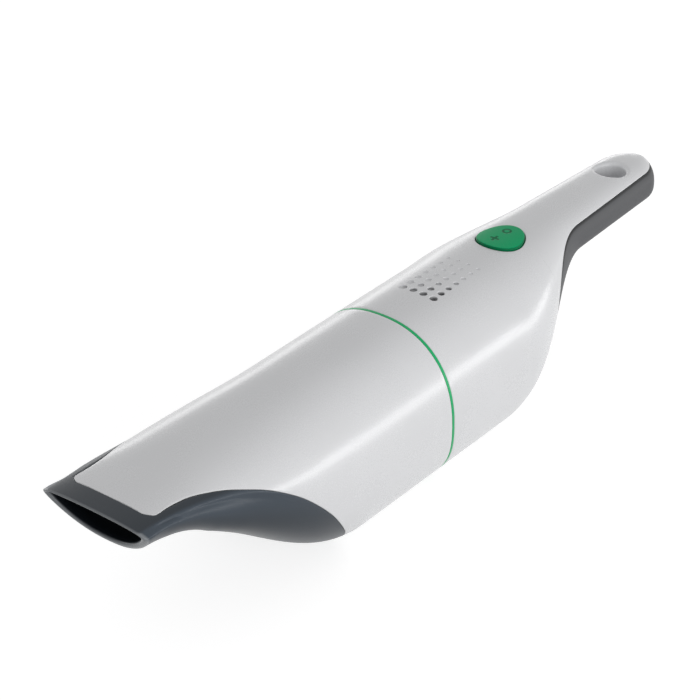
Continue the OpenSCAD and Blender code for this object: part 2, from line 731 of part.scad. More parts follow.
// The button's outline: a circle stretched a little and drawn toward a rounded triangle
button_n = 48;
module button_outline(grow) polygon([for (i = [0 : button_n - 1]) let (a = 360 * i / button_n,
    r = (button_l + button_w + (button_l - button_w) * cos(2 * a)) / 4 + button_corner * cos(3 * a) + grow)
    [r * cos(a), r * sin(a)]]);
// Screws that hold the grip cover to posts under the white top
grip_screw_start = 12;
grip_screw_pitch = 20;
grip_screw_x = [neck_x + grip_screw_start, neck_x + grip_screw_start + grip_screw_pitch];
grip_screw_r = 1.2;
grip_screw_l = 9;
sink_d = 3.4;
post_low = grip_low + 6;
collar_z = grip_seam_z - 1;
sleeve_r = hang_r + 1.8;
jack_ahead = 39;
jack_x = neck_x - jack_ahead;
jack_l = 8;
jack_body = 5;
jack_pin_r = 0.8;
function vent_r(row) = vent_d / 2 * pow(vent_fade, row);
module vent_holes() for (row = [0 : vent_rows - 1], col = [0 : vent_cols - 1])
    rod_z(front_l + vent_back + row * vent_pitch, (col - (vent_cols - 1) / 2) * vent_pitch,
        foam_low, body_h - foam_low, vent_r(row));
boss_x = bulk_x + bulk_t + gap_fixed;
// A straight bar from p to q, t wide
module strip(p, q, t) {
    d = (q - p) / norm(q - p) * t / 2;
    polygon([p + [-d[1], d[0]], q + [-d[1], d[0]], q + [d[1], -d[0]], p + [d[1], -d[0]]]);
}
key_hole = release_w + 2 * gap_slide;
module housing_shell() color(white) placed() difference() {
    union() {
        difference() {
            above_floor() loft(rear_xs(house_x, 0), 0);
            loft(rear_xs(house_x - 3, wall), wall);
            grip_zone(gap_fixed);
        }
        for (i = [0 : 3]) {
            rod_x(boss_x, screw_l, boss_wall + screw_r, screw_at[i][0], screw_at[i][1]);
            plate(boss_x, screw_l) strip(screw_at[i], wall_at[i], 2);
        }
        for (x = grip_screw_x) rod_z(x, 0, post_low, crown_z(x) - 1 - post_low, 3.4);
        for (p = posts) rod_z(p[0], p[1], board_h, crown_z(p[0]) - 1.4 - board_h, post_r);
        rod_z(hang_x, 0, collar_z, crown_z(hang_x) - 1 - collar_z, sleeve_r);
        rod_z(anchor_x, 0, 0.5, leaf_z - gap_fixed - 0.5, anchor_r);
    }
    for (p = screw_at) rod_x(house_x, screw_l + 3, screw_r + gap_run, p[0], p[1]);
    for (x = grip_screw_x) rod_z(x, 0, post_low - 1, 8, grip_screw_r + gap_run);
    for (p = posts) rod_z(p[0], p[1], board_h - 1, board_screw_l, board_screw_r + gap_run);
    rod_z(hang_x, 0, grip_low - 9, body_h, hang_r);
    rod_z(anchor_x, 0, leaf_z - 3, 6, board_screw_r + gap_run);
    vent_holes();
    translate([button_x, 0, key_low]) linear_extrude(body_h) button_outline(gap_slide + gap_fixed);
    translate([release_x - key_hole / 2, -key_hole / 2, -9]) cube([key_hole, key_hole, 9 + 2 * wall]);
}

// Grey cover under the handle and round the shoulder's rear, with the hanging hole
module grip_cover() color(grip_grey) placed() difference() {
    union() {
        intersection() {
            difference() {
                loft(rear_xs(rise_x, 0), 0);
                loft(rear_xs(rise_x - 3, wall), wall);
            }
            grip_zone(0);
        }
        rod_z(hang_x, 0, grip_low + 0.5, collar_z - gap_fixed - grip_low - 0.5, sleeve_r);
        for (x = grip_screw_x) rod_z(x, 0, grip_low + 0.5, post_low - gap_fixed - grip_low - 0.5, 5);
        intersection() {
            loft([for (i = [0 : 4]) jack_x + (neck_x - jack_x) * i / 4], wall / 3);
            rod_x(jack_x, neck_x - jack_x + 1, jack_body + 1.8, 0, jack_h);
        }
    }
    rod_z(hang_x, 0, grip_low - 9, body_h, hang_r);
    for (x = grip_screw_x) {
        rod_z(x, 0, grip_low - 9, 9 + sink_d, 3.1);
        rod_z(x, 0, grip_low - 9, 30, grip_screw_r + 0.4);
    }
    rod_x(jack_x - 9, neck_x - jack_x + 9, jack_body + gap_fixed, 0, jack_h);
}
module grip_screws() color(steel) placed() for (x = grip_screw_x) {
    rod_z(x, 0, grip_low + sink_d - 1.9 - gap_fixed, 1.9, 2.9);
    rod_z(x, 0, grip_low + sink_d - 1, grip_screw_l, grip_screw_r);
}

// Power button: a rocking key with two stems, its pin and its cradle
pivot_drop = 6.8;
pivot_z = body_h - pivot_drop;
key_low = pivot_z - 1.8;
button_skin = 1.4;
key_pin_r = 0.9;
stem_low = board_h + switch_h + plunger_h + 0.5;
module power_button() color(green) placed() difference() {
    union() {
        intersection() {
            translate([button_x, 0, key_low])
                linear_extrude(body_h - key_low + 2 * button_rise) button_outline(0);
            loft([button_x - button_l, button_x + button_l], -button_rise);
        }
        for (s = [-1, 1]) rod_z(button_x + s * stem_reach, 0, stem_low, body_h - stem_low, 1.8);
    }
    difference() {
        translate([button_x, 0, key_low - 1]) linear_extrude(body_h - button_skin - key_low + 1)
            button_outline(-1.6);
        for (s = [-1, 1]) rod_z(button_x + s * stem_reach, 0, stem_low, body_h, 1.8);
        for (s = [-1, 1]) translate([button_x - 2.2, s * stem_reach - 1, key_low]) cube([4.4, 2, body_h]);
    }
    rod_y(button_x, pivot_z, body_w, key_pin_r + gap_run);
}
pin_l = button_w + 4.4;
module button_pin() color(steel) placed() rod_y(button_x, pivot_z, pin_l, key_pin_r);
cradle_l = button_l + 8;
cradle_w = button_w + 6.2;
module button_cradle() color(inner_grey) placed() difference() {
    union() {
        translate([button_x - cradle_l / 2, -cradle_w / 2, key_low - 0.4]) cube([cradle_l, cradle_w, 2]);
        translate([button_x - 3, -cradle_w / 2, key_low - 0.4]) cube([6, cradle_w, 4]);
    }
    translate([button_x, 0, pivot_z - 9]) linear_extrude(20) button_outline(gap_slide + gap_fixed);
    rod_y(button_x, pivot_z, pin_l + 0.4, key_pin_r + gap_run);
    for (p = posts) rod_z(p[0], p[1], pivot_z - 9, 20, post_r + gap_fixed);
}

// Release button under the belly, and the sprung leaf that it lifts out of the container's notch
release_x = bulk_x + 13.2;
release_low = 0.8;
release_h = 3.6;
flange_w = 1.6;
flange_h = 1.2;
module release_button() color(green) placed() difference() {
    union() {
        translate([release_x - release_w / 2, -release_w / 2, release_low])
            cube([release_w, release_w, release_h]);
        translate([release_x - release_w / 2 - flange_w, -release_w / 2 - flange_w, wall + gap_slide])
            cube([release_w + 2 * flange_w, release_w + 2 * flange_w, flange_h]);
    }
    for (i = [-1 : 1]) translate([release_x + i * release_w / 4 - 0.6, -release_w / 2 + 1.5, release_low - 1])
        cube([1.2, release_w - 3, 1.5]);
}
leaf_t = 0.6;
leaf_z = release_low + release_h + gap_fixed;
leaf_w = catch_w - 2 * gap_slide;
// Free length of the leaf, from the release button to its screw
leaf_l = 20;
anchor_x = release_x + leaf_l;
anchor_r = 3;
hook_x = catch_x + gap_slide;
module leaf_tunnel(x, l) translate([x, -catch_w / 2 - 0.6, -1])
    cube([l, catch_w + 1.2, 1 + leaf_z + leaf_t + release_travel + 0.4]);
module catch_leaf() color(steel) placed() difference() {
    union() {
        translate([hook_x, -leaf_w / 2, leaf_z]) cube([anchor_x + 4 - hook_x, leaf_w, leaf_t]);
        translate([hook_x, -leaf_w / 2, wall - catch_d + gap_fixed])
            cube([1.6, leaf_w, leaf_z + leaf_t - wall + catch_d - gap_fixed]);
    }
    rod_z(anchor_x, 0, 0, leaf_z + leaf_t + 1, board_screw_r + gap_fixed);
}
module catch_screw() color(steel) placed() union() {
    rod_z(anchor_x, 0, leaf_z + leaf_t + gap_fixed, 1.3, 2.2);
    rod_z(anchor_x, 0, leaf_z - 2.6, 3.4 + leaf_t, board_screw_r);
}

module charge_socket() color(black) placed() difference() {
    rod_x(jack_x + 0.5, jack_l, jack_body, 0, jack_h);
    difference() {
        rod_x(jack_x + 1.8, jack_l, jack_r, 0, jack_h);
        rod_x(jack_x + 1.5, jack_l - 2.5, jack_pin_r, 0, jack_h);
    }
}

container_shell();
nozzle_scoop();
intake_duct();
intake_flap();
flap_pin();
filter_frame();
filter_pleats();
pre_filter();
filter_seal();
trim_ring();
bulkhead();
container_seal();
bulkhead_screws();
fan_shroud();
impeller();
diffuser();
motor_can();
motor_magnets();
armature();
commutator();
motor_shaft();
motor_bearings();
motor_end_cap();
motor_brushes();
motor_ring();
front_frame();
rear_frame();
battery_cells();
battery_straps();
control_board();
board_parts();
board_screws();
exhaust_foam();
housing_shell();
grip_cover();
grip_screws();
power_button();
button_pin();
button_cradle();
release_button();
catch_leaf();
catch_screw();
charge_socket();
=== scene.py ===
# %% [markdown]
# # A crumb vacuum cleaner
# This lesson dresses the packed CAD model of a slim cordless vacuum cleaner for a picture.
# The CAD solids hold the sizes and the joints, but their skins are made of flat facets.
# So the pieces that the eye meets first are worked out again as smooth surfaces, from the same
# formulas, and every solid that stays visible gets a finish of its own.

# %% Load the frame
import math
import bmesh
import bpy
import numpy as np
from mathutils import Matrix


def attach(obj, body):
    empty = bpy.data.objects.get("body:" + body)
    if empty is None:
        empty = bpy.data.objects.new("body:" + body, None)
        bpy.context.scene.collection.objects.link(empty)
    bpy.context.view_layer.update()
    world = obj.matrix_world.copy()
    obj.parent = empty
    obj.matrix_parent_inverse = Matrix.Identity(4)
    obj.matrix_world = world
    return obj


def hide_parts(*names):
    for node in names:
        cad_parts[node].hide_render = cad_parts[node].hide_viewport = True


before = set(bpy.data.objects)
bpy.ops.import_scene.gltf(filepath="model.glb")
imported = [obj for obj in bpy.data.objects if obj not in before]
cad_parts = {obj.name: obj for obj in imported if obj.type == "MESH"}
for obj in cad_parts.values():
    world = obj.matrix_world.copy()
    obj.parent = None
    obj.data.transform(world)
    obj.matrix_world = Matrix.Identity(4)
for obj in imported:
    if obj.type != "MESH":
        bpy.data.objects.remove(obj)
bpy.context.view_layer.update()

# %% [markdown]
# ## The camera
# The photograph looks down on the cleaner from its front left. A camera can be dragged into place
# by eye, but here its two angles, its roll and its distance were worked out from the outline, so
# it is set from these numbers. Three unit vectors, right, up and back, are the camera's own axes.

# %% Place the camera
turn, rise, roll = math.radians(51.01), math.radians(31.09), math.radians(-0.69)
looked_at, distance = np.array([-0.03801, 0.0, 0.07594]), 1.1313


def placing(right, up, back, place):
    """The matrix that turns an object's axes to three unit vectors and carries it to its place."""
    rows = np.eye(4)
    rows[:3] = np.stack([right, up, back, place], 1)
    return Matrix(rows.tolist())


right = np.array([math.cos(turn), -math.sin(turn), 0.0])
back = math.cos(rise) * np.array([-math.sin(turn), -math.cos(turn), math.tan(rise)])
up = np.cross(back, right)
lens = bpy.data.cameras.new("camera")
lens.lens, lens.sensor_width = 122.63, 36.0
lens.clip_start, lens.clip_end = 0.01, 50.0
camera = bpy.data.objects.new("camera", lens)
bpy.context.scene.collection.objects.link(camera)
camera.matrix_world = placing(math.cos(roll) * right + math.sin(roll) * up,
                              math.cos(roll) * up - math.sin(roll) * right,
                              back, looked_at + distance * back)
bpy.context.scene.camera = camera
print("camera at", (looked_at + distance * back).round(3))

# %% [markdown]
# ## The moulded body as one formula
# The shells of the real cleaner come out of one smooth form that was then cut along its seams.
# It could be sculpted or subdivided from a cage, but a formula gives the same form to every
# shell. A point of the body depends on the distance from the nozzle tip, on an angle round the
# section, and on how deep it lies under the outer face.

# %% Sizes of the body, in millimetres
LENGTH, WIDTH, HEIGHT, CROWN_DROP = 430.0, 86.5, 83.8, 1.9
MOUTH_W, MOUTH_H, LIP_SLANT = 61.4, 21.8, 0.4
BEAK_X, ROUND_X, FULL_X, BELLY_X = 19.0, 60.0, 112.0, 142.0
RISE_X, SHOULDER_X, NECK_X = 258.0, 270.0, 346.0
NECK_W, TIP_W, GRIP_T = 41.0, 35.0, 23.7
GRIP_LOW, TIP_R, TIP_X = HEIGHT - GRIP_T, TIP_W / 2, LENGTH - TIP_W / 2
WALL, FRONT_L, RING_X, HOUSE_X = 2.3, 201.0, 201.1, 202.8
TOP, BOTTOM = math.pi / 2, -math.pi / 2


def ease(t):
    """A soft step from 0 to 1: three squares less two cubes."""
    u = np.clip(t, 0.0, 1.0)
    return u * u * (3 - 2 * u)


def mix(a, b, t):
    """From a at t = 0 to b at t = 1, along a straight line."""
    return a + (b - a) * t


def swell(x, start, full, fall, end):
    """A soft step up from start to full, and down again from fall to end."""
    return ease((x - start) / (full - start)) * (1 - ease((x - fall) / (end - fall)))


print("body of", LENGTH, "x", WIDTH, "x", HEIGHT, "mm, walls of", WALL, "mm")

# %% The body's width, crown and underside
def half_width(x):
    """Half the width: it swells from mouth to body, narrows to the neck, then tapers a little."""
    front = mix(MOUTH_W / 2, WIDTH / 2, ease(x / FULL_X))
    return (mix(front, NECK_W / 2, ease((x - SHOULDER_X) / (NECK_X - SHOULDER_X)))
            - (NECK_W - TIP_W) / 2 * np.clip((x - NECK_X) / (TIP_X - NECK_X), 0, 1))


def crown(x):
    """Height of the crown: a long flat parabola."""
    return HEIGHT - CROWN_DROP * (2 * x / LENGTH - 1) ** 2


def under(x):
    """Height of the underside: beak, belly, and up again to the handle."""
    beak = crown(0.0) - MOUTH_H
    front = mix(beak, -1.0, ease((x - BEAK_X) / (BELLY_X - BEAK_X)))
    return mix(front, GRIP_LOW, ease((x - RISE_X) / (NECK_X - RISE_X)))


def tip_round(x, inset):
    """1 along the body, and a quarter circle down to 0 at the handle's end."""
    t = np.clip((x - TIP_X) / (TIP_R - inset), 0, 1)
    return np.sqrt(np.clip(1 - t * t, 0, 1))


print("at the belly: half width", round(half_width(BELLY_X), 1), "crown", round(crown(BELLY_X), 1))


# %% One point of the body
def section_shape(x, inset):
    """The numbers of the section at x: top, lowest and widest heights, half width, exponents.

    With an exponent of 2 it would be an ellipse. More is squarer and less is more pointed."""
    squash = tip_round(x, inset) ** 0.2
    top0, low0 = crown(x), under(x)
    middle = (top0 + low0) / 2
    high = middle + (top0 - inset - middle) * squash
    low = middle + (low0 + inset - middle) * squash
    width = (half_width(x) - inset) * tip_round(x, inset)
    past_mouth, to_neck = ease(x / ROUND_X), ease((x - SHOULDER_X) / (NECK_X - SHOULDER_X))
    wide = mix(low0, top0, mix(0.77, 0.45, past_mouth))
    e_top = mix(2.3, 2.6, to_neck)
    e_side = mix(mix(2.25, 2.6, past_mouth), 2.6, to_neck)
    e_low = mix(mix(1.26, 2.6, past_mouth), 2.6, to_neck)
    return high, low, wide, width, e_top, e_side, e_low


def slant(x, z):
    """How far the front leans back: most at the mouth, and more the lower the point lies."""
    return LIP_SLANT * np.clip(1 - x / 45, 0, 1) * (crown(0.0) - z)


def body(x, angle, inset=0.0):
    """A point of the body, as X, Y, Z in millimetres from the nozzle tip.

    The section is one superellipse above its widest line and another below it. The belly is cut
    flat, and the front of the body leans back toward its lower lip."""
    x, angle, inset = np.broadcast_arrays(*(np.asarray(v, float) for v in (x, angle, inset)))
    high, low, wide, width, e_top, e_side, e_low = section_shape(x, inset)
    c, s = np.cos(angle), np.sin(angle)
    u = np.sign(c) * np.abs(c) ** (2 / e_top)
    above = wide + (high - wide) * np.clip(s, 0, 1) ** (2 / e_top)
    below = wide - (wide - low) * np.clip(1 - np.abs(u) ** e_side, 0, 1) ** (1 / e_low)
    z = np.maximum(np.where(s >= 0, above, below), inset)
    return np.stack([x + slant(x, z), width * u, z], axis=-1)


def roof(x, y, inset=0.0):
    """Height of the body's upper face over a point of the plan."""
    high, low, wide, width, e_top, _, _ = section_shape(x, inset)
    return wide + (high - wide) * np.clip(1 - np.abs(y / width) ** e_top, 0, 1) ** (1 / e_top)


def sole(x, y):
    """Height of the handle's lower face over a point of the plan."""
    _, low, wide, width, _, e_side, e_low = section_shape(x, 0.0)
    return wide - (wide - low) * np.clip(1 - np.abs(y / width) ** e_side, 0, 1) ** (1 / e_low)


print("a point of the flank:", body(BELLY_X, 0.0).round(1))

# %% [markdown]
# ## The seams
# Where two shells meet, each surface ends on the seam. A boolean cut would do it, but leaves
# ragged cells along the edge. Here each section asks at which angle it crosses the seam, and its
# points are spread between those angles, so the grid itself runs along the seam. A seam is given
# by its zone, a function that is 0 on the seam and roughly the distance from it elsewhere.

# %% The seam lines as formulas
SEAM_TOP, SEAM_X, SEAM_RUN = 80.3, 32.0, 104.0
FOOT_X = SEAM_X + SEAM_RUN
TONGUE_X, TONGUE_R, TONGUE_Y = 11.6, 5.0, 17.5
GRIP_RUN, GRIP_BASE, GRIP_REACH, GRIP_POWER, GRIP_SCALE = 43.0, 38.0, 40.7, 2.3, 41.0
GRIP_FOOT = NECK_X - GRIP_RUN


def cover_zone(p):
    """Above 0 inside the white cover: over the falling parabola and behind the tongue's edge.

    The parabola sags a little behind the tongue and rises a little near its foot. The tongue has
    two round corners and sloping sides. Near it a height counts up to four times, so that the
    plan draws its edge, and a soft minimum rounds the corner where the two meet."""
    x, y, z = p[..., 0], np.abs(p[..., 1]), p[..., 2]
    sag = 1.3 * swell(x, 20, 48, 58, 80) - 0.9 * swell(x, 76, 94, 109, 121)
    seam = SEAM_TOP - sag - SEAM_TOP * (np.clip(x - SEAM_X, 0, None) / SEAM_RUN) ** 2
    side = np.array([35.0, 69.0]) / math.hypot(35, 69)
    dx, dy = x - (TONGUE_X + TONGUE_R), y - TONGUE_Y
    slope = np.where(dx * side[0] + dy * side[1] < 0, np.hypot(dx, dy),
                     dy * side[0] - dx * side[1])
    plan = TONGUE_R - np.where(dy <= 0, -dx, slope)
    over = (z - seam) * mix(4.0, 1.0, ease((x - 14) / 12))
    soft = 0.9 * (1 - ease((x - 24) / 8)) + 1e-3
    lower, gap = np.minimum(over, plan), np.abs(over - plan)
    return lower - soft * np.log1p(np.exp(-gap / soft))


def grip_zone(p):
    """Above 0 in the white housing, below 0 in the grip cover: a quarter superellipse."""
    ahead = np.clip(NECK_X - p[..., 0], 0, None) / GRIP_RUN
    height = np.clip(p[..., 2] - GRIP_BASE, 0, None) / GRIP_REACH
    return ((ahead ** GRIP_POWER + height ** GRIP_POWER) ** (1 / GRIP_POWER) - 1) * GRIP_SCALE


def seam_angle(x, zone, offset):
    """The angle at which the section at x reaches zone = offset, found by halving 40 times."""
    x = np.asarray(x, float)
    low, high = np.full(x.shape, BOTTOM), np.full(x.shape, TOP)
    for _ in range(40):
        middle = (low + high) / 2
        inside = zone(body(x, middle)) > offset
        low, high = np.where(inside, low, middle), np.where(inside, middle, high)
    return (low + high) / 2


asked = np.array([20.0, 60, 120, 320, 380])
print("seam angles:", np.degrees(seam_angle(asked, cover_zone, 0)).round(1))

# %% [markdown]
# ## From a grid to a mesh
# Every skin below is an array of points with rows and columns. This cell turns such arrays into
# one mesh, joins the points that lie on each other, and points the faces outward. A moulded wall
# is closed: the outer face rolls over its edge and comes back as the inner face.

# %% Make a mesh out of grids
MERGE, SLIVER, HARD_EDGE = 4e-6, 1e-6, math.radians(40)


def grid_faces(rows, columns, close_rows, close_columns, start):
    """Four-cornered faces between neighbouring rows and columns, as indices."""
    r = np.arange(rows if close_rows else rows - 1)[:, None]
    c = np.arange(columns if close_columns else columns - 1)[None, :]
    r2, c2 = (r + 1) % rows, (c + 1) % columns
    quads = np.stack([r * columns + c, r * columns + c2, r2 * columns + c2, r2 * columns + c], -1)
    return quads.reshape(-1, 4) + start


def piece(name, grids):
    """An object from a list of (points, close_rows, close_columns), placed and in metres."""
    points, faces, start = [], [], 0
    for p, close_rows, close_columns in grids:
        points.append(p.reshape(-1, 3))
        faces.append(grid_faces(*p.shape[:2], close_rows, close_columns, start))
        start += len(points[-1])
    mesh = bpy.data.meshes.new(name)
    places = (np.concatenate(points) - [LENGTH / 2, 0, 0]) / 1000
    mesh.from_pydata(places, [], np.concatenate(faces).tolist())
    work = bmesh.new()
    work.from_mesh(mesh)
    bmesh.ops.remove_doubles(work, verts=work.verts, dist=MERGE)
    bmesh.ops.dissolve_degenerate(work, edges=work.edges, dist=SLIVER)
    bmesh.ops.recalc_face_normals(work, faces=work.faces)
    work.to_mesh(mesh)
    work.free()
    made = bpy.data.objects.new(name, mesh)
    bpy.context.scene.collection.objects.link(made)
    soften(made)
    print(name, len(mesh.vertices), "points")
    return made


def soften(made):
    """Smooth shading, with hard edges where faces meet at a wide angle."""
    made.data.shade_smooth()
    made.data.set_sharp_from_angle(angle=HARD_EDGE)


# %% Rows and columns of a moulded wall
ROLL = 0.35
QUARTER = np.linspace(0, math.pi / 2, 5)


def full_turn(count):
    """Angles all the way round, without a second 0 at the end."""
    return np.linspace(0, 2 * math.pi, count, endpoint=False)


def spaced(start, end, step):
    """Evenly spaced stations, both ends included."""
    return np.linspace(start, end, max(2, int(round((end - start) / step)) + 1))


def wall_rows(stations, rear=True, roll=ROLL):
    """Stations and depths along one wall: its edges roll inward over a quarter circle."""
    over, down = roll * np.sin(QUARTER), roll * (1 - np.cos(QUARTER))
    x = [stations[0] - over[:0:-1], stations]
    depth = [down[:0:-1], np.zeros(len(stations))]
    if rear:
        x, depth = x + [stations[-1] + over[1:]], depth + [down[1:]]
    return np.concatenate(x), np.concatenate(depth)


print("edges roll over", ROLL, "mm in", len(QUARTER) - 1, "steps")

# %% [markdown]
# ## White cover of the container
# The cover is a thin polypropylene shell. It ends on the seam above the grey scoop, and behind the
# foot of that seam it closes round the belly. Two patches make it: the roof from seam to seam, and
# the belly panel. Both are carried over their edges and back along the inside.

# %% Columns that roll over a seam
HELD_BACK = 1.35


def seam_columns(x, seam, trimmed, border, count, middle, wall):
    """Angles and depths of one patch from its seam on the right to its seam on the left.

    The seam is a zone, the side kept (1 or -1), a gap and the stations between which it is asked
    for. The border angle is used where the patch isn't trimmed. At a trimmed edge the outermost
    columns follow a quarter circle of the roll's radius, and end at the wall's depth."""
    zone, sign, gap, first, last = seam
    over, down = ROLL * (1 - np.sin(QUARTER)), ROLL * (1 - np.cos(QUARTER))
    asked = np.clip(x, first, last)
    edge = np.stack([np.where(trimmed, seam_angle(asked, zone, sign * (gap + o)), border)
                     for o in over[::-1]], 1)
    depth = np.where(trimmed[:, None], down[None, ::-1], 0.0)
    edge = np.concatenate([edge[:, :1], edge], 1)
    depth = np.concatenate([np.where(trimmed, wall, 0.0)[:, None], depth], 1)
    inner = mix(edge[:, -1:], middle, np.linspace(0, 1, count)[None, 1:])
    half = np.concatenate([edge, inner], 1)
    half_depth = np.concatenate([depth, np.zeros(inner.shape)], 1)
    other = 2 * middle - half[:, -2::-1]
    return (np.concatenate([half, other], 1),
            np.concatenate([half_depth, half_depth[:, -2::-1]], 1))


def wall_patch(x, depth, seam, trimmed, border, count, middle, end=LENGTH):
    """Points of one closed wall patch: outer rows, then the same stations on the inner face.

    Toward the handle's end a deeper point is held back, so that the inner face closes too."""
    both = np.concatenate([x, x[::-1]])
    angle, side = seam_columns(both, seam, trimmed(both), border(both), count, middle, WALL)
    deep = np.maximum(np.concatenate([depth, np.full(x.shape, WALL)])[:, None], side)
    return body(np.minimum(both[:, None], end - HELD_BACK * deep), angle, deep), True, False


print("columns rolled over each seam:", len(QUARTER) + 1)


# %% The cover
def belly_edge(x):
    """The angle at which the section meets the flat belly."""
    return seam_angle(x, lambda p: p[..., 2], 1e-4)


def cover_border(x):
    """The line of the belly's edge, along which roof and belly panel meet."""
    return belly_edge(np.maximum(x, FOOT_X))


def never(x):
    """No station is trimmed: the patch ends on its border everywhere."""
    return np.zeros(x.shape, bool)


# Stations lie closer where the seam bends more.
cover_seam = (cover_zone, 1, 0.0, TONGUE_X + 0.1, FOOT_X)
curl = TONGUE_R * (1 - np.cos(np.linspace(0, 1.1, 10)))
corner = TONGUE_X + 0.05 + ROLL + curl
cover_x = np.concatenate([corner, spaced(corner[-1] + 0.8, 28, 1.2), spaced(29.5, FOOT_X - 2, 1.6),
                          FOOT_X - 1.9 * (1 - np.linspace(0, 1, 8)[1:] ** 0.5),
                          spaced(FOOT_X + 1.5, FRONT_L - ROLL, 2.2)])
x, depth = wall_rows(cover_x)
behind = x >= FOOT_X
cover = piece("cover", [
    wall_patch(x, depth, cover_seam, lambda x: x < FOOT_X, cover_border, 70, TOP),
    wall_patch(x[behind], depth[behind], cover_seam, never, cover_border, 30, BOTTOM)])
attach(cover, "container")
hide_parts("container_shell")

# %% [markdown]
# ## Grey scoop with the mouth
# The scoop is one moulding: a beak whose mouth faces forward and down, and a face that sweeps to
# the belly. The outer face turns over the lip and runs back inside as the wall of the mouth. The
# lip is a half circle, thin above the mouth and fuller below it. Along the seam runs a flush band.
# It ends at a crease, under which the face sinks into a shallow dish, so the light changes there.

# %% Lip and dish of the scoop
LIP_THIN, LIP_FULL, LIP_START = 0.6, 2.0, 2.1
MOUTH_WALL, SCOOP_WALL = 2.0, 2.6
CREASE, DISH = 0.5, 1.1
BAND_X = TONGUE_X - 0.1
scoop_seam = (cover_zone, -1, 0.1, TONGUE_X + 0.2, FOOT_X)
scoop_x = np.concatenate([spaced(LIP_START, BAND_X, 0.84), BAND_X + curl[1:],
                          spaced(15.2, 28, 1.1), spaced(29, FOOT_X - 2, 1.5),
                          FOOT_X - np.array([1.2, 0.6, 0.1])])
around = np.linspace(0, math.pi, 13)[1:-1]


def lip_radius(angle):
    """Radius of the lip: thin over the mouth, full below it, and a soft change between."""
    return mix(LIP_FULL, LIP_THIN, ease((np.sin(angle) + 0.05) / 0.6))


def dish(x, angle):
    """Depth of the dish: its deepest value times one soft step for each side where it runs out.

    Along X it fades at the mouth and at the foot. Across, it starts at the crease, where the
    angle's sine is half, keeps clear of the seam and fades toward the underside."""
    below, turned = -cover_zone(body(x, angle)), CREASE - np.sin(angle)
    along = ease((x - 2) / 14) * mix(1.0, 0.25, ease((x - 62) / 50)) * (1 - ease((x - 118) / 14))
    across = ease(turned / 0.13) * ease((below - 0.6) / 3.5) * (1 - ease((turned - 0.5) / 0.7))
    return DISH * along * across


print("stations of the scoop:", len(scoop_x), "and round its lip:", len(around))

# %% The scoop
def scoop_border(x):
    """The seam's own line, also where the band closes over the beak."""
    return seam_angle(np.clip(x, *scoop_seam[3:]), cover_zone, -0.1)


def scoop_patch(stations, trimmed, middle, count):
    """One patch of the scoop: below the seam, or the band across the top of the beak.

    Rows run forward on the inner face, round the lip and back along the outer face."""
    rows = np.concatenate([stations[::-1], np.full(len(around), LIP_START), stations])
    thick = mix(MOUTH_WALL, SCOOP_WALL, ease(rows / 13))
    angle, side = seam_columns(rows, scoop_seam, trimmed(rows), scoop_border(rows), count, middle,
                               thick)
    lip = lip_radius(angle)
    wall = mix(2 * lip, SCOOP_WALL, ease((rows - LIP_START) / 11)[:, None])
    x = rows[:, None] + (lip - LIP_START) * np.clip(1 - (rows - LIP_START) / 8, 0, 1)[:, None]
    dent = dish(np.maximum(rows, 5.0)[:, None], angle)
    inner, outer = len(stations), len(stations) + len(around)
    half_turn = lip[inner:outer]
    depth = np.concatenate([wall[:inner], half_turn * (1 + np.cos(around))[:, None], dent[outer:]])
    x[inner:outer] = half_turn * (1 - np.sin(around))[:, None]
    return body(x, angle, np.maximum(depth, side)), True, False


band = scoop_x <= BAND_X
scoop = piece("scoop", [scoop_patch(scoop_x, lambda x: x > BAND_X, BOTTOM, 70),
                        scoop_patch(scoop_x[band], never, TOP, 26)])
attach(scoop, "container")
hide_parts("nozzle_scoop")

# %% [markdown]
# ## Green ring, white housing and grey grip cover
# The ring is the same section carried over a few stations. The housing runs on into the top of the
# handle, and the grip cover closes the handle from below. Their common seam falls along a quarter
# of a superellipse behind the shoulder, so both take their edges from one formula.

# %% The ring
x, depth = wall_rows(spaced(RING_X + 0.2, RING_X + 1.4, 0.4), roll=0.2)
depth = np.concatenate([depth, np.full(len(x), WALL + 1)])
x = np.concatenate([x, x[::-1]])
ring = piece("ring", [(body(x[:, None], full_turn(240)[None, :], depth[:, None]), True, True)])
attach(ring, "housing")
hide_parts("trim_ring")

# %% Stations of the housing and the grip cover
SPLIT_X = NECK_X - (GRIP_RUN + 0.1)
WHITE_END = LENGTH - 0.28
bend = np.cos(np.linspace(0, math.pi / 2, 30)) ** (2 / GRIP_POWER)
tip = TIP_X + TIP_R * np.sin(np.linspace(0, math.pi / 2, 24))
handle = spaced(NECK_X + 2, TIP_X, 2.0)[:-1]
house_x = np.concatenate([spaced(HOUSE_X + ROLL, RISE_X - 4, 2.2),
                          spaced(RISE_X - 2, GRIP_FOOT - 2, 1.6),
                          NECK_X - (GRIP_RUN + 0.1) * bend, handle, tip[tip < WHITE_END]])
grip_x = np.concatenate([NECK_X - (GRIP_RUN - 0.1) * bend + ROLL * bend, handle, tip])
house_seam = (grip_zone, 1, 0.1, GRIP_FOOT - 0.05, WHITE_END)
grip_seam = (grip_zone, -1, 0.0, GRIP_FOOT + 0.4, LENGTH)


def house_border(x):
    """Ahead of the grip seam the two patches of the housing meet along one line of the flank."""
    foot = seam_angle(np.array([GRIP_FOOT - 0.03]), grip_zone, 0.1)
    return mix(belly_edge(x), foot, ease((x - HOUSE_X) / (SPLIT_X - HOUSE_X)))


print("stations:", len(house_x), "of the housing,", len(grip_x), "of the grip cover")

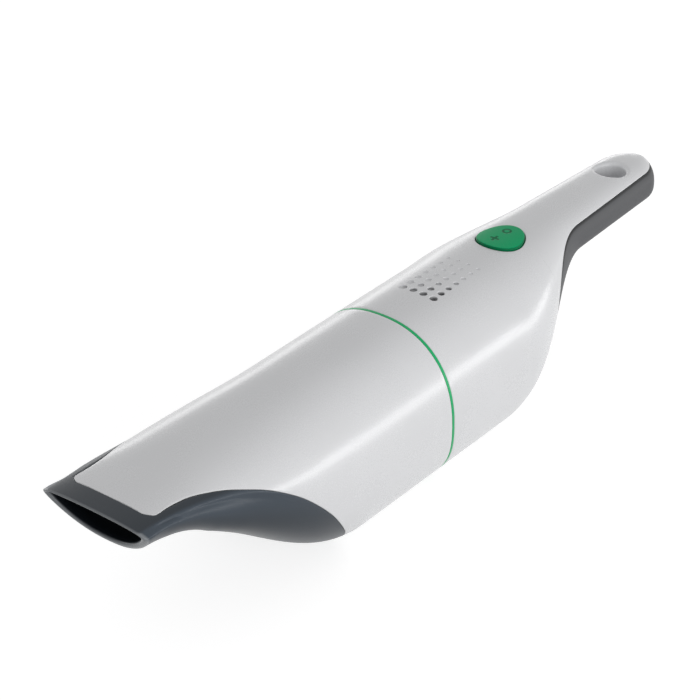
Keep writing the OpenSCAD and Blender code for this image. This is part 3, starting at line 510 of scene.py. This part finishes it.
# %% [markdown]
# ## Holes with soft lips
# The hanging hole, the vents and the button's opening all have rounded edges. Each is cut with a
# boolean a little too wide, and a lip is put into the cut: a quarter circle that starts on the
# body's face and ends in the hole's own wall. The lip and the cut share the same outline points.
# The vents fade away, as in the photograph: the first go through, and the others get a floor that
# lies less and less deep.

# %% Lips and cutters
def ring_points(centre, radius):
    """Points of the plan round a centre, from an array of radii."""
    t = full_turn(len(radius))
    return centre[0] + radius * np.cos(t), centre[1] + radius * np.sin(t)


def level(x, y, height):
    """A row of points over an outline of the plan, all at one height."""
    return np.stack([x, y, np.full(len(x), float(height))], -1)


def hole_lip(centre, radius, roll, end, face=roof, down=1):
    """A quarter circle from the face, down (1) or up (-1), into a wall that ends at this height."""
    rows = []
    for a in math.pi / 2 * np.linspace(0, 1, 10) ** 1.7:
        x, y = ring_points(centre, radius + roll * (1 - math.sin(a)))
        rows.append(np.stack([x, y, face(x, y) - down * roll * (1 - math.cos(a))], -1))
    return np.stack(rows + [level(x, y, end)]), False, True


def flat_ring(centre, radius, height, inner):
    """A flat ring at one height, from its rim to this share of its radius."""
    rows = [level(*ring_points(centre, radius * share), height) for share in (1.0, inner)]
    return np.stack(rows), False, True


def prism(x, y, low, high):
    """A closed prism over an outline of the plan, with its first and last rows at its middle."""
    cx, cy = np.full(len(x), x.mean()), np.full(len(x), y.mean())
    return np.stack([level(cx, cy, low), level(x, y, low), level(x, y, high),
                     level(cx, cy, high)]), False, True


print("faces of the handle:", round(sole(TIP_X, 0.0), 1), "and", round(roof(TIP_X, 0.0), 1))


# %% Cut and join
def drop_pairs(mesh):
    """Take out triangles on the same three points, which an exact cut can leave as a sliver."""
    first, count = np.empty((2, len(mesh.polygons)), np.int32)
    mesh.polygons.foreach_get("loop_start", first)
    mesh.polygons.foreach_get("loop_total", count)
    corners = np.empty(len(mesh.loops), np.int32)
    mesh.loops.foreach_get("vertex_index", corners)
    three = np.flatnonzero(count == 3)
    keys = np.sort(corners[first[three][:, None] + np.arange(3)], axis=1)
    _, which, times = np.unique(keys, axis=0, return_inverse=True, return_counts=True)
    work = bmesh.new()
    work.from_mesh(mesh)
    work.faces.ensure_lookup_table()
    paired = [work.faces[i] for i in three[times[which.ravel()] > 1]]
    bmesh.ops.delete(work, geom=paired, context="FACES")
    work.to_mesh(mesh)
    work.free()


def cut(made, grids):
    """Take the closed grids out of a piece, and give its new edges hard shading."""
    tool = piece("tool", grids)
    step = made.modifiers.new("cut", "BOOLEAN")
    step.operation, step.solver, step.object = "DIFFERENCE", "EXACT", tool
    seen = made.evaluated_get(bpy.context.evaluated_depsgraph_get())
    result = bpy.data.meshes.new_from_object(seen)
    made.modifiers.clear()
    drop_pairs(result)
    made.data = result
    bpy.data.objects.remove(tool)
    soften(made)
    print("cut", made.name, "now", len(result.vertices), "points")


def join(name, parts):
    """One object out of several pieces."""
    with bpy.context.temp_override(active_object=parts[0], selected_editable_objects=parts):
        bpy.ops.object.join()
    parts[0].name = name
    return parts[0]


# %% Outlines of the holes
ROOF_CUT, SOLE_CUT = (70, 90), (55, 66)
HANG, HANG_R, HANG_ROLL, HANG_ROLL_LOW, HANG_MID = (400.8, 0.0), np.full(64, 8.1), 2.6, 1.2, 64.0
BUTTON, BUTTON_GAP, BUTTON_FOOT = (300.0, 0.0), 0.4, 75.2
BUTTON_R, BUTTON_OVAL, BUTTON_EGG = 12.525, 0.375, 0.55
VENT_X, VENT_R, VENT_PITCH, VENT_SHRINK, VENT_OPEN = 230.5, 2.0, 6.15, 0.87, 0.21
t = full_turn(96)
button_r = BUTTON_R + BUTTON_OVAL * np.cos(2 * t) + BUTTON_EGG * np.cos(3 * t)
vents = [((VENT_X + VENT_PITCH * row, VENT_PITCH * (column - 1.5)),
          np.full(28, VENT_R * VENT_SHRINK ** row), 0.2 * row + 0.22 * column)
         for row in range(7) for column in range(4)]
shallow = [fade > VENT_OPEN for *_, fade in vents]
print(len(vents), "vent holes, of which", sum(shallow), "are shallow")


def vent_hole(centre, radius, fade):
    """Centre, radius, edge and bottom of a vent: a through hole, or a dimple less and less deep."""
    edge = 0.15 * radius[0] + 0.1
    depth = WALL if fade < VENT_OPEN else edge + 0.04 + 2.3 * (1 - min(fade, 1)) ** 2
    return centre, radius, edge, roof(*centre) - depth


# %% The housing and its holes
def outlines(holes, low, high):
    """A cutter for each hole, as wide as its rounded edge."""
    return [prism(*ring_points(centre, radius + edge), low, high)
            for centre, radius, edge, _ in holes]


x, depth = wall_rows(house_x, rear=False)
ahead = x <= SPLIT_X
shell = piece("shell", [
    wall_patch(x, depth, house_seam, lambda x: x > SPLIT_X, house_border, 80, TOP, WHITE_END),
    wall_patch(x[ahead], depth[ahead], house_seam, never, house_border, 50, BOTTOM)])
vent_holes = [vent_hole(*vent) for vent in vents]
holes = [(HANG, HANG_R, HANG_ROLL, HANG_MID),
         (BUTTON, button_r + BUTTON_GAP, BUTTON_GAP, BUTTON_FOOT)] + vent_holes
floors = [flat_ring(centre, radius, bottom, 0.0)
          for (centre, radius, _, bottom), closed in zip(vent_holes, shallow) if closed]
# The release button works in a slot of the belly.
slot_x, slot_y = np.array([209.2, 222.8, 222.8, 209.2]), np.array([-6.8, -6.8, 6.8, 6.8])
cut(shell, outlines(holes, *ROOF_CUT) + [prism(slot_x, slot_y, -5, 5)])
housing = join("housing", [shell, piece("lips", [hole_lip(*hole) for hole in holes] + floors)])

# %% The grip cover and its holes
SCREW_R, SCREW_SEAT = np.full(40, 3.1), 63.5
JACK_R, JACK_Z, JACK_FROM, JACK_TO, SLEEVE_END = 5.1, 47.0, 300.0, 340.0, 308.0
x, depth = wall_rows(grip_x, rear=False)
under_side = piece("under_side", [wall_patch(x, depth, grip_seam, lambda x: x < WHITE_END,
                                             lambda x: np.full(x.shape, TOP), 70, BOTTOM)])
screw_holes = [((at, 0.0), SCREW_R, 0.3, SCREW_SEAT) for at in (358.0, 378.0)]
low_holes = [(HANG, HANG_R, HANG_ROLL_LOW, HANG_MID - 0.1)] + screw_holes
t = full_turn(48)
jack_y, jack_z = JACK_R * np.cos(t), JACK_Z + JACK_R * np.sin(t)
jack_cut = np.stack([np.stack([np.full(48, at), r * jack_y, JACK_Z + r * (jack_z - JACK_Z)], -1)
                     for at, r in ((JACK_FROM, 0), (JACK_FROM, 1), (JACK_TO, 1), (JACK_TO, 0))])
cut(under_side, outlines(low_holes, *SOLE_CUT) + [(jack_cut, False, True)])
climb = np.linspace(JACK_FROM, JACK_TO, 400)
jack_end = np.interp(jack_z, under(climb), climb)
sleeve = np.stack([np.stack([at, jack_y, jack_z], -1)
                   for at in (jack_end - 0.05, np.full(48, SLEEVE_END))])
sockets = [hole_lip(*hole, face=sole, down=-1) for hole in low_holes]
seats = [flat_ring(centre, radius, SCREW_SEAT, 0.5) for centre, radius, _, _ in screw_holes]
grip = join("grip", [under_side, piece("sockets", sockets + seats + [(sleeve, False, True)])])
for made, node, slot in ((housing, "housing_shell", "white_plastic"),
                         (grip, "grip_cover", "grip_plastic")):
    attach(made, "housing")
    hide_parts(node)

# %% [markdown]
# ## Values kept on the points
# Some painted light and shade belongs to a place on the form, such as the painted highlight round
# the lip of the mouth and the painted shade in the vents. A painted texture could hold them, but
# the formulas already know each place. So their values are stored on the points of the mesh, and
# the finishes read them there.

# %% Values kept on the points for the finishes
def keep_value(made, name, zone):
    """Store a function of the place, in millimetres from the nozzle tip, on a piece's points."""
    places = np.empty(3 * len(made.data.vertices))
    made.data.vertices.foreach_get("co", places)
    value = zone(places.reshape(-1, 3) * 1000 + [LENGTH / 2, 0, 0])
    made.data.attributes.new(name, "FLOAT", "POINT").data.foreach_set("value", value)
    print(made.name, "carries", name, "from", value.min().round(2), "to", value.max().round(2))


def lip_zone(p):
    """Roughly the distance behind the lip of the mouth."""
    return p[..., 0] - slant(p[..., 0], p[..., 2])


def face_zone(p):
    """Height over the widest line, as a share of the height up to the crown."""
    high, _, wide = section_shape(p[..., 0], 0.0)[:3]
    return (p[..., 2] - wide) / (high - wide)


def skin_zone(p):
    """1 on the outer face, and less inside it: the section's own equation."""
    high, low, wide, width, e_top, e_side, e_low = section_shape(p[..., 0], 0.0)
    across, z = np.abs(p[..., 1]) / width, p[..., 2]
    above = across ** e_top + np.clip((z - wide) / (high - wide), 0, None) ** e_top
    below = across ** e_side + np.clip((wide - z) / (wide - low), 0, None) ** e_low
    return np.where(z > wide, above, below)


def vent_zone(p):
    """Depth under the roof among the vents, and 0 elsewhere."""
    x, y, z = p[..., 0], p[..., 1], p[..., 2]
    among = (np.abs(x - (VENT_X + 18.5)) < 24) & (np.abs(y) < 13) & (z > 70)
    return np.where(among, roof(x, np.clip(y, -13, 13)) - z, 0.0)


for name, zone in (("lip", lip_zone), ("face", face_zone), ("skin", skin_zone)):
    keep_value(scoop, name, zone)
keep_value(grip, "seam", lambda p: np.abs(grip_zone(p)))
keep_value(housing, "sunk", vent_zone)

# %% [markdown]
# ## Power button
# The button is a low dome that follows the crown and stands a little above it. Polar rows of its
# outline are lifted onto that raised face, and its rim rolls over into a short side wall.

# %% The power button
BUTTON_RISE, BUTTON_EDGE, BUTTON_SIDE, BUTTON_BED = 1.2, 0.7, 1.6, 81.0


def dome_row(radius, sunk):
    """A row of the dome over these radii, sunk below the raised face."""
    x, y = ring_points(BUTTON, radius)
    return np.stack([x, y, roof(x, y, -BUTTON_RISE) - sunk], -1)


dome = [dome_row((button_r - BUTTON_EDGE) * share, 0.0) for share in np.linspace(0, 1, 26)]
rim = [dome_row(button_r - BUTTON_EDGE * (1 - math.sin(a)), BUTTON_EDGE * (1 - math.cos(a)))
       for a in np.linspace(0, math.pi / 2, 7)[1:]]
walls = [level(*ring_points(BUTTON, radius), height)
         for radius, height in ((button_r, BUTTON_FOOT), (button_r - BUTTON_SIDE, BUTTON_FOOT),
                                (button_r - BUTTON_SIDE, BUTTON_BED), (button_r * 0, BUTTON_BED))]
button = piece("button", [(np.stack(dome + rim + walls), False, True)])
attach(button, "power_key")
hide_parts("power_button")

# %% [markdown]
# ## Finishes written as sums
# A real moulding is never one flat colour. The pigment drifts a little, the tool's fine grain
# breaks the gloss, and edges that are handled get smoother. Such finishes can be clicked together
# from nodes, but a sum such as 0.3 + 0.1 * cloud reads like what it does. So a small class wraps
# a node's output, and Python's own signs add the Math nodes.

# %% A wire between nodes
def maths(operation, swapped=False):
    """A method for one of Python's signs. Its swapped form serves a number on the left."""
    if swapped:
        return lambda self, other: self.math(operation, other, self)
    return lambda self, other: self.math(operation, self, other)


class Wire:
    """One output of a node. Signs between wires and numbers add Math nodes."""

    __add__, __radd__ = maths("ADD"), maths("ADD", True)
    __sub__, __rsub__ = maths("SUBTRACT"), maths("SUBTRACT", True)
    __mul__, __rmul__ = maths("MULTIPLY"), maths("MULTIPLY", True)
    __truediv__, least, most = maths("DIVIDE"), maths("MINIMUM"), maths("MAXIMUM")

    def __init__(self, tree, socket=None):
        self.tree, self.socket = tree, socket

    def node(self, kind, inputs=(), settings=(), output=0):
        """Add a node: its settings first, then the values or wires of its sockets."""
        made = self.tree.nodes.new("ShaderNode" + kind)
        for name, value in dict(settings).items():
            setattr(made, name, value)
        for key, value in dict(inputs).items():
            if isinstance(value, Wire):
                self.tree.links.new(value.socket, made.inputs[key])
            else:
                made.inputs[key].default_value = value
        return Wire(self.tree, made.outputs[output])

    def math(self, operation, *values):
        return self.node("Math", enumerate(values), {"operation": operation})

    def axes(self):
        """The three parts of a place, each as a wire in millimetres."""
        split = self.node("SeparateXYZ", {0: self})
        return [Wire(self.tree, out) * 1000 for out in split.socket.node.outputs]

    def rise(self, low, high):
        """0 below the low value, 1 above the high one, and a soft step between them."""
        return self.node("MapRange", {0: self, 1: low, 2: high},
                         {"interpolation_type": "SMOOTHSTEP"})

    def blend(self, a, b):
        """Colour a where this wire is 0 and colour b where it is 1."""
        return self.node("Mix", {0: self, 6: a, 7: b}, {"data_type": "RGBA"}, 2)

    def cloud(self, size, detail=2.0, stretch=(1, 1, 1)):
        """Soft noise with lumps of this size in millimetres, drawn out along the stretched axes."""
        at = self.node("Mapping", {"Vector": self, "Scale": [1000 / size / s for s in stretch]})
        return self.node("TexNoise", {"Vector": at, "Scale": 1.0, "Detail": detail})

    def cells(self, size, feature="F1"):
        """Distance inside a pattern of random cells of this size in millimetres."""
        return self.node("TexVoronoi", {"Vector": self, "Scale": 1000 / size}, {"feature": feature})

    def kept(self, name):
        """A value stored on the points of the mesh."""
        return self.node("Attribute", settings={"attribute_name": name}, output=2)

    def turned(self, other):
        """The angle of a point of the plane."""
        return self.math("ARCTAN2", other, self)

    def length(self, other):
        """The distance of a point of the plane."""
        return self.math("SQRT", self * self + other * other)

    def size(self):
        return self.math("ABSOLUTE", self)

    def cosine(self, times):
        return self.math("COSINE", self * times)

    def repeat(self, every):
        """A saw from 0 to 1 over each stretch of this many millimetres."""
        return self.math("FRACT", self / every)


print("reflected signs:", [name for name in vars(Wire) if name.startswith("__r")])

# %% Start and end of a finish
FINISH = {}


def start(slot, **constants):
    """A new material for a slot. Constants go straight to the shader's sockets."""
    made = bpy.data.materials.new(slot + "_finish")
    made.use_nodes = True
    shader = made.node_tree.nodes["Principled BSDF"]
    for name, value in constants.items():
        shader.inputs[name.replace("_", " ")].default_value = value
    FINISH[slot] = made
    print("finish:", slot)
    return shader, Wire(made.node_tree).node("TexCoord", output=3)


def dress(shader, colour, roughness, height=None, depth=0.01, **others):
    """Link the wires that vary. The height is a bump, with its full depth in millimetres."""
    wires = {"Base Color": colour, "Roughness": roughness, **others}
    if height is not None:
        wires["Normal"] = height.node("Bump", {"Height": height, "Distance": depth / 1000})
    for name, wire in wires.items():
        wire.tree.links.new(wire.socket, shader.inputs[name])


def tone(colour, k):
    """A colour made darker or lighter, with alpha 1."""
    return [min(1.0, c * k) for c in colour[:3]] + [1.0]


def worn_edge(place):
    """1 on convex edges, broken up by a cloud, as where hands polish a corner."""
    edge = place.node("NewGeometry", output="Pointiness")
    return edge.rise(0.53, 0.62) * place.cloud(3.0).rise(0.35, 0.6)


print("white at half strength:", tone((1, 1, 1), 0.5))


# %% [markdown]
# ## Moulded plastics
# Most of the cleaner is injection moulded. One function serves them all: a slow drift of the
# pigment, a finer speckle, the grain of the tool as a bump, and a roughness that varies with both.
# The white shells are glossy and nearly smooth, the grip has a coarser matt grain. On top of that
# come the stored values, which paint shade: darker vents, and a dark line along the grip's seam
# where the gap would cast its shadow.

# %% Moulded plastic
def moulded(slot, colour, roughness, grain, depth, drift=0.03, **constants):
    """Colour and roughness drift over centimetres. The grain is a bump of this size and depth."""
    shader, place = start(slot, **constants)
    slow, fine = place.cloud(38.0, 1.0), place.cloud(grain, 3.0)
    edge = worn_edge(place)
    pigment = (slow * 0.7 + fine * 0.3).rise(0.3, 0.7)
    base = pigment.blend(tone(colour, 1 - drift), tone(colour, 1 + drift))
    base = (edge * 0.35).blend(base, tone(colour, 1.25))
    rough = roughness + (slow - 0.5) * 0.12 + (fine - 0.5) * 0.1 - edge * 0.08
    dress(shader, base, rough, fine, depth)
    return shader, place, base, rough


shader, place, base, rough = moulded("white_plastic", (0.735, 0.74, 0.755), 0.27, 0.5, 0.003,
                                     drift=0.012, Coat_Weight=0.2, Coat_Roughness=0.15)
# Painted shade in the vents: the deeper a point lies under the roof, the darker and rougher it is.
vent_shade = place.kept("sunk").rise(0.15, 1.2)
dress(shader, (vent_shade * 0.65).blend(base, (0.1, 0.1, 0.105, 1)), rough + vent_shade * 0.3)
moulded("ring_green", (0.004, 0.42, 0.14), 0.35, 0.4, 0.004, Specular_IOR_Level=0.3)
moulded("inner_plastic", (0.36, 0.37, 0.39), 0.42, 0.6, 0.01)
moulded("black_plastic", (0.018, 0.018, 0.02), 0.45, 0.6, 0.012, drift=0.15)

grip_grey = (0.088, 0.09, 0.095)
shader, place, base, rough = moulded("grip_plastic", grip_grey, 0.55, 0.7, 0.06, drift=0.06,
                                     Specular_IOR_Level=0.3)
# Painted shade: within about 1.5 mm of its seam the grip is darker, for the shadow in the gap under
# the white housing.
dress(shader, place.kept("seam").rise(0.4, 1.5).blend(tone(grip_grey, 0.35), base), rough)

# %% [markdown]
# ## Grey of the scoop
# The scoop is one plastic, but its parts look different under the lamps: a darker band over the
# mouth, a thin pale line round the lip, and a dark underside and inside. Lamps alone would take
# many tries, so four masks from the stored values paint that light and shade into the colour:
# painted shade on the band, the underside and the inside of the mouth, and a painted highlight on
# the lip.

# %% The scoop's finish
scoop_grey = (0.046, 0.06, 0.078)
shader, place, base, rough = moulded("scoop_plastic", scoop_grey, 0.36, 0.45, 0.006, drift=0.06,
                                     Specular_IOR_Level=0.3)
# Painted shade: the band between the seam and the crease is darker.
band = place.kept("face").rise(0.5, 0.62)
# Painted highlight: a pale, smoother line round the lip of the mouth.
rim = 1 - (place.kept("lip") + band * 1.1).rise(0.9, 2.8)
# Painted shade: darker toward the underside.
low = 1 - place.kept("face").rise(-0.3, 0.25)
# Painted shade: the wall inside the mouth is darker.
inside = 1 - place.kept("skin").rise(0.78, 0.92)
base = band.blend((low * 0.4).blend(base, (0.0, 0.0, 0.0, 1)), tone(scoop_grey, 0.48))
base = (rim * (0.9 - band * 0.15)).blend(base, (0.25, 0.265, 0.28, 1))
dress(shader, (inside * (1 - rim)).blend(base, tone(scoop_grey, 0.2)), rough - rim * 0.1)

# %% [markdown]
# ## Green of the power button
# The button carries two generic signs, a plus and a small power circle, moulded a little lower and
# darker. They could be cut in the mesh, but lines this fine are drawn better as masks: a distance
# from the middle of each sign, in millimetres over the plan, turned into a line by a soft step.
# A third mask follows the button's own outline and paints shade on the wall that goes down into the
# gap.

# %% The power button's finish
shader, place, base, rough = moulded("green_plastic", (0.001, 0.4, 0.15), 0.3, 0.45, 0.004,
                                     Specular_IOR_Level=0.08)
along, across, _ = place.axes()
plus_x, plus_y = (along - 81.0).size(), (across - 1.3).size()
arms = 1 - plus_x.least(plus_y).rise(0.6, 0.9)
reach = 1 - plus_x.most(plus_y).rise(2.5, 2.8)
circle = (along - 91.0).length(across - 0.8)
circle_line = circle.rise(1.25, 1.5) * (1 - circle.rise(2.45, 2.7))
sign = (arms * reach).most(circle_line)
out = along - (BUTTON[0] - LENGTH / 2)
turned = out.turned(across)
outline = BUTTON_R + turned.cosine(2) * BUTTON_OVAL + turned.cosine(3) * BUTTON_EGG
# Painted shade on the button's side wall, where it goes down into the gap.
wall_down = (out.length(across) / outline).rise(0.95, 0.985)
green = (sign * 0.8).blend(base, (0.0, 0.08, 0.03, 1))
dress(shader, (wall_down * 0.8).blend(green, (0.0, 0.09, 0.035, 1)), rough + sign * 0.15,
      1 - sign, 0.06)

# %% [markdown]
# ## Metals
# Turned and drawn metal shows fine lines along the tool's path. A cloud that is drawn out ten or
# more times along one axis gives such lines, and it drives both the roughness and a tiny bump.
# The armature's copper shows its stacked sheets as fine dark rings.

# %% Metals
def metal(slot, colour, roughness, line, stretch, depth, spots=0.12):
    """Drawn-out lines of the given size, and a slow drift of brightness with dull spots."""
    shader, place = start(slot, Metallic=1.0)
    lines, slow = place.cloud(line, 3.0, stretch), place.cloud(9.0)
    edge = worn_edge(place)
    base = (lines * 0.5 + slow * 0.5).rise(0.35, 0.65).blend(tone(colour, 0.82), tone(colour, 1.1))
    rough = roughness + (lines - 0.5) * 0.25 + slow.rise(0.55, 0.7) * spots - edge * 0.08
    dress(shader, (edge * 0.5).blend(base, tone(colour, 1.3)), rough, lines, depth)
    return shader, place, base


metal("steel", (0.55, 0.56, 0.58), 0.3, 0.25, (12, 1, 1), 0.006)
metal("can_steel", (0.46, 0.47, 0.48), 0.34, 0.3, (25, 1, 1), 0.01, 0.2)
metal("brass", (0.66, 0.46, 0.18), 0.33, 0.25, (1, 10, 10), 0.008, 0.25)

shader, place, base = metal("copper", (0.62, 0.25, 0.12), 0.35, 0.4, (1, 8, 8), 0.01)
sheets = place.axes()[0].repeat(0.5).rise(0.75, 0.95)
dress(shader, (sheets * 0.8).blend(base, (0.06, 0.035, 0.03, 1)), 0.35 + sheets * 0.3,
      1 - sheets, 0.05)

# %% [markdown]
# ## The woven net of the pre-filter
# The net is a plain sheet in the CAD. Thousands of wires would be a heavy mesh, so the gaps
# between them are cut out by Alpha: one saw runs along the net and one round it.

# %% The woven net
NET_HEIGHT, NET_R, NET_PITCH = 45.0, 28.9, 0.8


def gap(saw):
    """1 in the gap between two wires, and 0 on the wire."""
    return saw.rise(0.3, 0.4) * (1 - saw.rise(0.9, 1))


shader, place = start("mesh_steel", Metallic=1.0)
along, across, up_axis = place.axes()
round_net = (up_axis - NET_HEIGHT).turned(across) * NET_R
wires_seen = 1 - gap(along.repeat(NET_PITCH)) * gap(round_net.repeat(NET_PITCH))
shade = place.cloud(5.0).rise(0.3, 0.7).blend((0.4, 0.41, 0.42, 1), (0.45, 0.46, 0.47, 1))
dress(shader, shade, 0.3 + place.cloud(0.3) * 0.2, wires_seen, 0.12, Alpha=wires_seen)
print("a wire every", NET_PITCH, "mm")

# %% [markdown]
# ## Rubber, paper, foam and the electric parts
# These show only when the container is off or through a hole, but each still gets the texture
# that tells what it is: fibres in the paper, pores in the foam, tracks on the board.

# %% Rubber, magnets and carbon
def granular(slot, colour, roughness, size, depth, speck, sparkle):
    """Grains of two sizes, with lighter specks where a random cell is small."""
    shader, place = start(slot)
    grains, slow = place.cells(size), place.cloud(12.0)
    base = slow.rise(0.35, 0.65).blend(tone(colour, 0.8), tone(colour, 1.3))
    specks = 1 - grains.rise(0.12, 0.3)
    edge = worn_edge(place)
    dress(shader, (specks * sparkle + edge * 0.3).blend(base, speck + (1.0,)),
          roughness + (slow - 0.5) * 0.15 + (grains - 0.5) * 0.1, grains, depth)


granular("rubber", (0.019, 0.019, 0.02), 0.62, 0.5, 0.01, (0.06, 0.06, 0.062), 0.1)
granular("magnet", (0.045, 0.045, 0.05), 0.5, 0.35, 0.02, (0.16, 0.16, 0.17), 0.4)
granular("carbon", (0.028, 0.028, 0.03), 0.42, 0.3, 0.012, (0.12, 0.12, 0.12), 0.3)

# %% Paper and foam
shader, place = start("paper")
fibres = place.cloud(0.5, 4.0, (7, 1, 1)) * 0.5 + place.cloud(0.4, 4.0, (1, 4, 4)) * 0.5
dust = place.cloud(14.0, 3.0).rise(0.45, 0.75)
sheet = fibres.rise(0.3, 0.7).blend((0.7, 0.67, 0.56, 1), (0.85, 0.82, 0.72, 1))
dress(shader, (dust * 0.4).blend(sheet, (0.5, 0.46, 0.38, 1)), 0.85 + fibres * 0.1, fibres, 0.05)

shader, place = start("foam")
pores = place.cells(0.9).rise(0.1, 0.55)
lumps = place.cloud(3.0, 4.0)
foam = (pores * 0.7 + lumps * 0.3).blend((0.01, 0.01, 0.011, 1), (0.075, 0.075, 0.08, 1))
dress(shader, foam, 0.85 + lumps * 0.1, pores, 0.3)

# %% Cell wrap and circuit board
WRAP_FROM, WRAP_TO = 10.3, 72.2
shader, place = start("cell_wrap", Coat_Weight=0.4)
along = place.axes()[0]
wrinkles = place.cloud(2.5, 3.0, (4, 1, 1))
wrapped = (along - WRAP_FROM).rise(0.0, 0.3) * (1 - (along - WRAP_TO).rise(0.0, 0.3))
film = wrinkles.rise(0.3, 0.7).blend((0.012, 0.12, 0.23, 1), (0.025, 0.19, 0.34, 1))
dress(shader, wrapped.blend((0.5, 0.51, 0.52, 1), film), 0.22 + wrinkles * 0.15, wrinkles, 0.06,
      Metallic=1 - wrapped)

shader, place = start("board_green", Coat_Weight=0.3)
tracks = 1 - place.cells(2.6, "DISTANCE_TO_EDGE").rise(0.06, 0.1)
pads = 1 - place.cells(4.2).rise(0.16, 0.19)
lacquer = place.cloud(6.0).rise(0.35, 0.65).blend((0.006, 0.085, 0.04, 1), (0.012, 0.12, 0.06, 1))
lacquer = (tracks * 0.6).blend(lacquer, (0.02, 0.2, 0.09, 1))
dress(shader, pads.blend(lacquer, (0.6, 0.6, 0.58, 1)), 0.25 + place.cloud(0.8) * 0.2,
      tracks, 0.035, Metallic=pads * 0.9)

# %% Give every piece and every CAD node its finish
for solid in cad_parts.values():
    for seat in solid.material_slots:
        seat.material = FINISH[seat.material.name.split(".")[0]]
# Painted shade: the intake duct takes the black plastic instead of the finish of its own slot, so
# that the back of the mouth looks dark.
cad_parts["intake_duct"].material_slots[0].material = FINISH["black_plastic"]
for made, slot in ((cover, "white_plastic"), (scoop, "scoop_plastic"), (ring, "ring_green"),
                   (housing, "white_plastic"), (grip, "grip_plastic"), (button, "green_plastic")):
    made.data.materials.clear()
    made.data.materials.append(FINISH[slot])
print("finishes in use:", len(FINISH))

# %% [markdown]
# ## Floor, light and backdrop
# A studio sweep is white because it is lit, which would also burn out a white object. Here the
# floor and the world are white only for the camera's own rays, for mirror rays and for rays that
# pass through, and the lamps stay at a plain level. Four soft boxes stand round the cleaner: a
# long low one draws the highlight along the near flank, a broad one fills that side, and two on
# the far side draw the bright far edge and keep the back from going dark.

# %% Lamps
def area_light(name, place, size, power):
    """A soft box that faces the middle of the cleaner."""
    lamp = bpy.data.lights.new(name, "AREA")
    lamp.shape, lamp.size, lamp.size_y, lamp.energy = "RECTANGLE", size[0], size[1], power
    made = bpy.data.objects.new(name, lamp)
    bpy.context.scene.collection.objects.link(made)
    away = np.array(place, float) - [0, 0, 0.05]
    away /= np.linalg.norm(away)
    side = np.cross([0, 0, 1.0], away)
    side /= np.linalg.norm(side)
    made.matrix_world = placing(side, np.cross(away, side), away, place)
    print("lamp:", name, power, "W")


area_light("highlight", (0.9, -1.0, 0.11), (1.1, 0.22), 3.8)
area_light("near fill", (-0.4, -1.4, 0.5), (1.4, 0.7), 10)
area_light("far rim", (0.9, 1.05, 0.16), (1.3, 0.3), 2.0)
area_light("far fill", (-0.2, 1.45, 0.22), (1.4, 0.4), 4.0)
bpy.context.scene.view_settings.view_transform = "Standard"

# %% World and floor
def show(tree, lighting, directly, output):
    """Show one shader to the rays that light the object, and another to those that see directly.

    These are camera rays, mirror rays and rays that pass through."""
    path = tree.nodes.new("ShaderNodeLightPath")
    seen, mirrored, passing = (Wire(tree, path.outputs[f"Is {kind} Ray"])
                               for kind in ("Camera", "Glossy", "Transmission"))
    seen = seen.most(mirrored).most(passing)
    mixed = seen.node("MixShader", {0: seen, 1: lighting, 2: directly})
    tree.links.new(mixed.socket, tree.nodes[output].inputs["Surface"])


world = bpy.data.worlds.new("studio")
world.use_nodes = True
bpy.context.scene.world = world
plain, white = (Wire(world.node_tree).node("Background", {"Color": (1, 1, 1, 1), "Strength": k})
                for k in (0.42, 1))
show(world.node_tree, plain, white, "World Output")

bpy.ops.mesh.primitive_plane_add(size=6, location=(0, 0, -0.0002))
floor = bpy.context.object
floor.name = "floor"
sweep = bpy.data.materials.new("sweep")
sweep.use_nodes = True
paint = sweep.node_tree.nodes["Principled BSDF"]
paint.inputs["Base Color"].default_value = (0.5, 0.5, 0.5, 1)
paint.inputs["Roughness"].default_value = 0.9
lit = Wire(sweep.node_tree, paint.outputs[0])
glow = lit.node("Emission", {"Color": (1, 1, 1, 1), "Strength": 0.75})
show(sweep.node_tree, lit, lit.node("AddShader", {0: lit, 1: glow}), "Material Output")
floor.data.materials.append(sweep)
print("floor and world ready")
